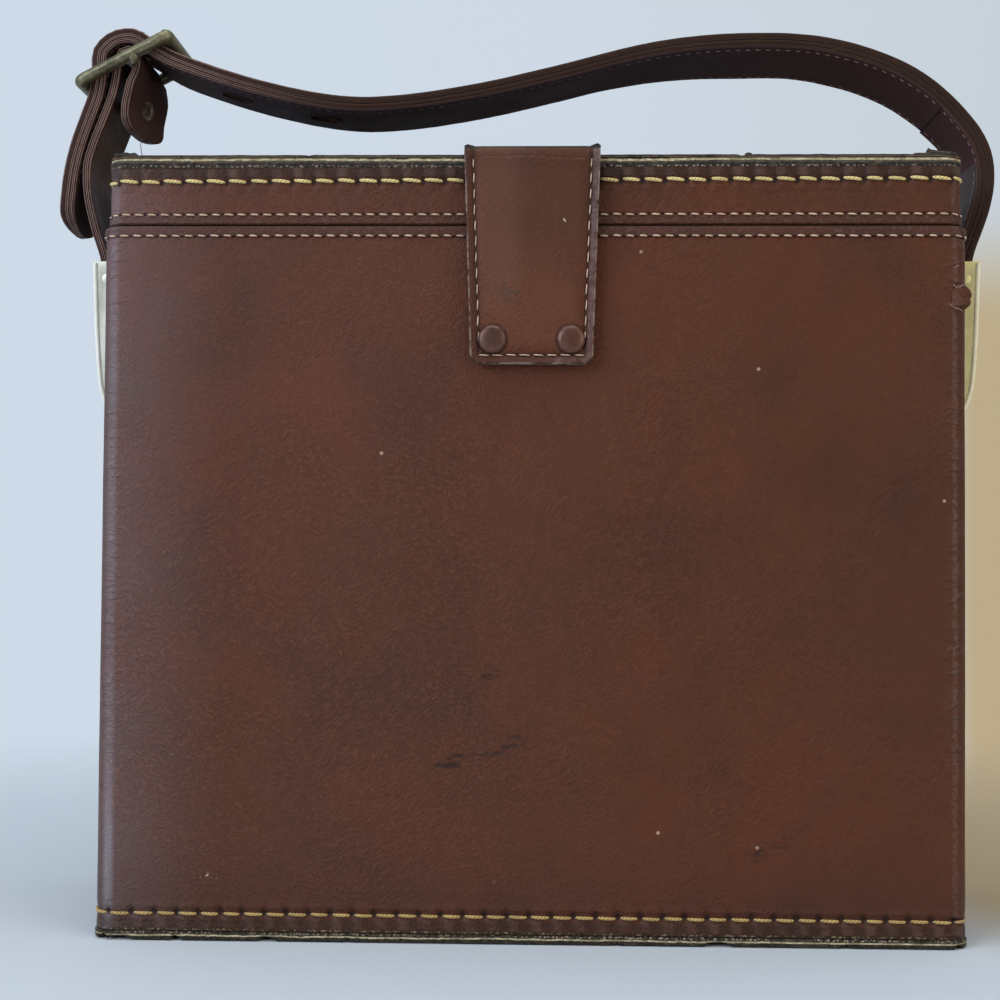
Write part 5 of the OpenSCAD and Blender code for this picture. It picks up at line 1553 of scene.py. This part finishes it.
for cx, cy, start in ((1, -1, -90), (1, 1, 0), (-1, 1, 90), (-1, -1, 180)):
    for a in range(start, start + 91, 15):
        u = cx * (13 * mm - bend) - (cx < 0) * 1.8 * mm + bend * math.cos(math.radians(a))
        v = cy * (railY - bend) + bend * math.sin(math.radians(a))
        ring.append((u, v))
    # fill the straight part that follows, so that the bar can swell a little
    nextU, nextV = {(1, -1): (13 * mm, railY - bend), (1, 1): (-14.8 * mm + bend, railY),
                    (-1, 1): (-14.8 * mm, -railY + bend), (-1, -1): (13 * mm - bend, -railY)}[(cx, cy)]
    u, v = ring[-1]
    ring += [(u + (nextU - u) * t / 8, v + (nextV - v) * t / 8) for t in range(1, 8)]
loop = [(atBar(u, 0)[0], v, atBar(u, 0)[1]) for u, v in ring]
thick = [(1.4 + 0.35 * (abs(v) > railY * 0.98) + 0.75 * (u > 12.4 * mm) + 0.45 * (u < -14 * mm)
          + 0.06 * noise.noise((u * 300, v * 300, 1))) * mm for u, v in ring]
tube("buckleFrame", loop, thick, "strap", closed=True, sides=16, **buckleLook)
cross, crossR = [], []
for i in range(33):
    v = (i / 32 * 2 - 1) * (railY + 0.4 * mm)
    near = max(0, abs(v) - (railY - 2.6 * mm)) / (2.6 * mm)
    cross.append((barX, v, barZ))
    crossR.append((1.3 + 1.1 * min(near, 1) ** 2 * (1 if near < 1.05 else 0.6)) * mm)
tube("buckleBar", cross, crossR, "strap", **buckleLook)
endLine = [(atBar(u * mm, h * mm)[0], v * (railY - 0.3 * mm), atBar(u * mm, h * mm)[1])
           for v in (-1, 1) for u, h in ((10.9, -0.75), (13.4, -0.95), (13.4, 0.95), (10.9, 0.75))]
makePiece("buckleEnd", endLine, ringFaces(2, 4), "strap", sharp=30, **buckleLook)
turned("buckleLug", inMm([(1.6, -0.2), (1.75, 1.2), (1.5, 2.4), (0.95, 3.2), (0, 3.5)]),
       (atBar(2.4 * mm, 0)[0], -railY, atBar(2.4 * mm, 0)[1]), (0.1, 0.1, -1), "strap", 24, **buckleLook)
prongLine = [atBar(u * mm, (2.5 - 0.035 * u) * mm) for u in rowOf(1.6, 13.8, 0.8)]
prongR = [(0.95 - 0.35 * max(0, (i - 8) / (len(prongLine) - 9)) ** 2) * mm for i in range(len(prongLine))]
tube("prong", [(x, 0, z) for x, z in prongLine], prongR, "prong", **prongLook)
turned("prongEye", inMm([(1.6, -1.4), (2.6, -1.5), (2.85, -1.2), (2.9, 0), (2.85, 1.2), (2.6, 1.5), (1.6, 1.4),
                         (1.6, -1.4)]), (barX, 0, barZ), (0, 1, 0), "prong", 32, **prongLook)
print("the straps are threaded through the buckle")


# brackets and studs

ivory = metal("bracketLeft", (222, 221, 204), (204, 203, 184), (240, 240, 228), 0.42, 0.4, 0.4, flecks=0.25,
              spot=(92, 84, 66))
khaki = metal("bracketRight", (212, 200, 142), (196, 184, 126), (228, 220, 176), 0.4, 0.5, 0.3, flecks=0.15,
              spot=(130, 116, 78))
# the rolled rims get a paler, non-metal copy of each bracket's finish, a painted highlight
ivoryHighlight = metal("rimLeftHighlight", (244, 243, 230), (232, 231, 214), (250, 250, 244), 0.42, 0.4, 0.0, flecks=0.2,
                 spot=(92, 84, 66))
khakiHighlight = metal("rimRightHighlight", (250, 244, 212), (240, 232, 194), (254, 250, 232), 0.42, 0.4, 0.0, flecks=0.15,
                 spot=(130, 116, 78))
leftBracket = refined("leftBracket", ["left_bracket"], "strap", 0.4 * mm, 3, "bracket_left", ivory)
rightBracket = refined("rightBracket", ["right_bracket"], "strap", 0.45 * mm, 3, "bracket_right", khaki)
for name in ("left_backing", "right_backing", "left_stud", "right_stud"):
    side = "left" if name.startswith("left") else "right"
    refined(side + ("Backing" if "backing" in name else "Stud"), [name], "case", 0.2 * mm, 2, "bracket_" + side,
            khaki if side == "right" else ivory)
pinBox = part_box("strap_pins")
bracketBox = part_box("right_bracket")
# (height over the stud, how far out) along the cheeks' free edges, as cut and as worn, in mm
cheekLine = [(-9, 2.2), (-7.2, 4.0), (-2, 5.9), (6, 7.1), (20, 8.0), (39.65, 8.9)]
rimLine = [(-9, 2.2), (-6, 3.3), (-2.6, 5.2), (-1.5, 5.9), (-0.2, 6.5), (2, 7.45), (5.8, 8.0), (12.3, 8.3), (20, 8.45),
           (28.4, 8.4), (39.65, 8.3)]


def lowered(obj, side):
    # the cheeks' free edges are worn lower than they were cut
    for v in obj.data.vertices:
        out, up = side * v.co.x / mm - bracketBox[0].x / mm, (v.co.z - pivotZ) / mm
        cut, now = read(cheekLine, up), read(rimLine, up)
        if out > 1.3:
            v.co.x = side * (bracketBox[0].x + (1.3 + (out - 1.3) * (now - 1.3) / max(cut - 1.3, 0.5)) * mm)


def rimAt(up):
    # how far the rolled rim stands out and to the side at a height over the stud
    half = 8.88 + 0.166 * (up + 1.47) if up >= -1.47 else math.sqrt(max(81 - up * up, 0))
    return read(rimLine, up) - 0.6, half - 0.3


lowered(leftBracket, -1)
lowered(rightBracket, 1)
for side, name, finish, rolled in ((-1, "left", ivory, ivoryHighlight), (1, "right", khaki, khakiHighlight)):
    # the pin's ends are set flush, and the edge of each cheek is rolled, in a paler finish that is a painted highlight
    pinX, half = side * (pinBox[1].x - 1.5 * mm), pinBox[1].y - 0.5 * mm
    pinLook = {"stands": ["strap_pins"], "slot": "bracket_" + name, "material": finish}
    for near in (-1, 1):
        cheek = (rimAt((strapPinZ - pivotZ) / mm)[1] + 0.3) * mm
        turned(name + ("PinFront" if near < 0 else "PinBack"),
               inMm([(0, 0.03), (1.3, 0.03), (1.55, -0.05), (1.55, -0.8), (0, -0.8)]),
               (pinX, near * cheek, strapPinZ), (0, near, -0.166), "strap", 32, **pinLook)
    line = [(0, 0.02 * mm - half), (1.2 * mm, 0.02 * mm - half), (1.5 * mm, 0.15 * mm - half)]
    turned(name + "Pin", line + [(r, -a) for r, a in reversed(line)], (pinX, 0, strapPinZ), (0, 1, 0), "strap", 32,
           **pinLook)
    ups = rowOf(39.2, -1.47, 2.4)[:-1] + [-8.4 * math.sin(math.radians(a)) for a in range(10, 90, 8)]
    line = [(side * (bracketBox[0].x + rimAt(up)[0] * mm), -rimAt(up)[1] * mm, pivotZ + up * mm) for up in ups]
    line += [(x, -y, z) for x, y, z in reversed(line)]
    tube(name + "Rim", line, 0.74 * mm, "strap", sides=12, stands=[name + "_bracket"], slot="bracket_" + name,
         material=rolled)


def scrap(name, rows, body, material, slot, thick=0.34 * mm):
    # a torn scrap: rows of points from where it is attached to its free edge, with a little thickness
    rows = [[Vector(p) * mm for p in row] for row in rows]
    across, deep = len(rows[0]), len(rows)
    flat = [p for row in rows for p in row]
    normals = []
    for j in range(deep):
        for i in range(across):
            du = rows[j][min(i + 1, across - 1)] - rows[j][max(i - 1, 0)]
            dv = rows[min(j + 1, deep - 1)][i] - rows[max(j - 1, 0)][i]
            normals.append(du.cross(dv).normalized())
    points = [p + n * face * thick / 2 for face in (1, -1) for p, n in zip(flat, normals)]
    return makePiece(name, points, sheetFaces(deep, across), body, material=material, slot=slot, sharp=60)


# the torn flap at the upper right: (height, across) along its free edge, in mm
outline = [(176.3, 115.0), (175.9, 115.9), (175.0, 116.7), (174.0, 117.1), (173.2, 117.15), (172.6, 116.65),
           (172.15, 116.85), (171.4, 116.95), (170.8, 116.5), (170.3, 115.9), (169.8, 115.1)]
flap = []
for t in (0, 0.25, 0.5, 0.72, 0.88, 1):
    row = []
    for i, (z, x) in enumerate(outline):
        v = i / (len(outline) - 1) * 2 - 1
        rootX, rootZ = 111.6 + 1.2 * v * v - 0.5 * v, 172.9 - 3.6 * v
        lift = 0.55 * math.sin(math.pi * min(t * 1.1, 1) * 0.75) * (1 - v * v * 0.6)
        back = 1.5 * t ** 2.2 + 0.9 * v * v * t
        row.append((rootX + (x - rootX) * t, -40.75 - lift + back, rootZ + (z - rootZ) * t))
    flap.append(row)
scrap("tornFlap", flap, "case", bodyLeather, "leatherette", thick=0.6 * mm)
for number, line in enumerate([[(112.2, 176.2), (112.6, 175.6), (113.4, 175.45), (114.2, 175.8), (114.9, 176.3)],
                               [(111.0, 171.2), (111.8, 170.4), (112.8, 170.0), (113.8, 169.6), (114.5, 169.2)],
                               [(112.5, 180.8), (113.0, 181.2), (113.6, 181.4)]]):
    # the torn edges show the pale cloth under the leatherette
    path = smoothed(line, 4)
    edge = [(x * mm, (0.056 * max(x - 111.6, 0) ** 1.2 - 41.15) * mm, z * mm) for x, z in path]
    radii = [0.1 * mm * (1 + 0.6 * noise.noise((i * 0.8, number, 2))) for i in range(len(path))]
    tube("tornEdge" + str(number), edge, radii, "case", sides=7, slot="leatherette", material=strapThread)
topZ = skinHigh.z / mm
earTop, earY = flapHigh.z / mm, axisY / mm + 0.05
for number, (side, tall) in enumerate(((-1, 0.5), (1, 0.75))):
    # the tab's piping stands up black at its two top corners
    far = side * tab["topHalf"] / mm
    base = [(far - side * u, earY, earTop + h) for u, h in ((0, -0.9), (0.8, -0.7), (1.7, -0.6), (2.8, -0.5))]
    top = [(far + side * 0.1, earY - 0.2, earTop + 0.1), (far - side * 0.7, earY - 0.1, earTop + tall),
           (far - side * 1.6, earY, earTop + tall * 0.6), (far - side * 2.7, earY, earTop + 0.02)]
    scrap("tabEar" + str(number), [base, top], "tab", rimTopFinish, "rim")
shreds = [
    [(105.0, 0), (105.4, 0.8), (105.8, 1.5), (106.6, 1.15), (107.6, 0.95), (109.2, 0.8), (110.8, 0.62), (112.2, 0.4),
     (113.4, 0.05)],
    [(-113.6, 0.0), (-112.9, 0.5), (-112.0, 0.35), (-111.2, 0.6), (-110.2, 0.75), (-109.2, 0.5), (-108.0, 0.62),
     (-107.2, 0.1)],
    [(57.0, 0), (57.4, 0.3), (58.2, 0.35), (58.8, 0.1)],
    [(101.9, 0), (102.4, 0.14), (103.4, 0.2), (104.6, 0.24), (105.2, 0.1)],
]
for number, shred in enumerate(shreds):
    shred = [tuple(q) for q in smoothed(shred, 3)]
    rows = [[(x, lidY / mm - lidD / mm / 2 + 0.4 + 0.5 * u + 0.15 * noise.noise((x * 1.3, u * 2, number)),
              topZ - 0.35 + (0.35 + max(h, 0)) * u + 0.1 * noise.noise((x * 2.1, number, 4)) * u)
             for x, h in shred]
            for u in (0, 0.35, 0.7, 1)]
    scrap("frayed" + str(number), rows, "lid", rimTopFinish, "rim")
threadEnd = [(-115.4, -3.0, 225.0), (-115.6, -3.4, 222.6), (-115.2, -3.5, 220.2), (-114.8, -3.2, 217.6),
             (-114.7, -3.6, 215.0)]
tube("looseThread", inMm(threadEnd), 0.12 * mm, "strap", sides=6, slot="strap_leather", material=strapThread)
print("the brackets hang on their studs")


# inside the case and the lid

boardFinish = board("greyBoard")
liningCloth = cloth("liningCloth", (62, 20, 24), (92, 34, 36))
for name in ("bottom_board", "front_board", "back_board", "left_board", "right_board", "divider_board",
             "lid_top_board", "lid_front_board", "lid_back_board", "lid_left_board", "lid_right_board"):
    nodes[name].data.materials.clear()
    nodes[name].data.materials.append(boardFinish)
for name, piece, body, width in (("body_lining", "bodyLining", "case", 0.5),
                                 ("lid_lining", "lidLining", "lid", 0.4),
                                 ("divider_sleeve", "dividerSleeve", "case", 0.35)):
    refined(piece, [name], body, width * mm, 3, "lining", liningCloth, sharp=10, merge=False)
refined("mouthCollar", ["mouth_collar"], "case", 0.4 * mm, 3, "collar", plainLeather, sharp=10)


def padOf(name, node, body, up, quilt):
    # a crowned pad, pulled in at its edges and along quilted lines, flat where it is glued down
    low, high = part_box(node)
    across, deep = 44, 20
    w, d = (high.x - low.x) / 2, (high.y - low.y) / 2
    cx, cy = (high.x + low.x) / 2, (high.y + low.y) / 2
    points = []
    for layer in (0, 1):
        for j in range(deep + 1):
            for i in range(across + 1):
                u, v = i / across * 2 - 1, j / deep * 2 - 1
                crown = max(0.0, (1 - u ** 8) * (1 - v ** 8)) ** 0.5
                seam = min(1, abs((u * 2.5 + 0.5) % 1 - 0.5) * 7) if quilt else 1
                seam = min(seam, 1, abs((v * 1.5 + 0.5) % 1 - 0.5) * 7) if quilt else seam
                pull = 0.6 * mm * (1 - crown)
                t = (0.32 + 0.68 * crown * (0.72 + 0.28 * seam)) if layer else 0
                h = (high.z - low.z) * t
                z = low.z + h if up else high.z - h
                points.append((cx + u * (w - pull), cy + v * (d - pull), z))
    pad = makePiece(name, points, sheetFaces(deep + 1, across + 1), body, stands=[node], slot="lining",
                    material=liningCloth, sharp=60)


padOf("floorPad", "floor_pad", "case", True, True)
padOf("lidPad", "lid_pad", "lid", False, True)
hingeMetal = metal("hingeBrass", (176, 146, 84), (128, 102, 56), (220, 198, 140), 0.34, 0.4, 1.0, flecks=0.3)
for name, piece, body in (("hinge_leaf_body", "hingeLeafBody", "case"), ("hinge_leaf_lid", "hingeLeafLid", "lid"),
                          ("hinge_pin", "hingePin", "case"), ("hinge_rivets_body", "hingeRivetsBody", "case"),
                          ("hinge_rivets_lid", "hingeRivetsLid", "lid")):
    refined(piece, [name], body, 0.12 * mm, 2, "hinge_brass", hingeMetal)
magnetFinish = metal("magnetFinish", (92, 92, 94), (66, 66, 68), (140, 140, 142), 0.5, 0.6, 0.6)
refined("catchCup", ["catch_cup"], "case", 0.25 * mm, 3, "steel", steel)
refined("catchMagnet", ["catch_magnet"], "case", 0.2 * mm, 2, "magnet", magnetFinish)
refined("catchRivet", ["catch_rivet"], "case", 0.2 * mm, 2, "steel", steel)
print("the inside is lined")

print("cad box", [[round(c * 1000, 1) for c in v] for v in cadBox])
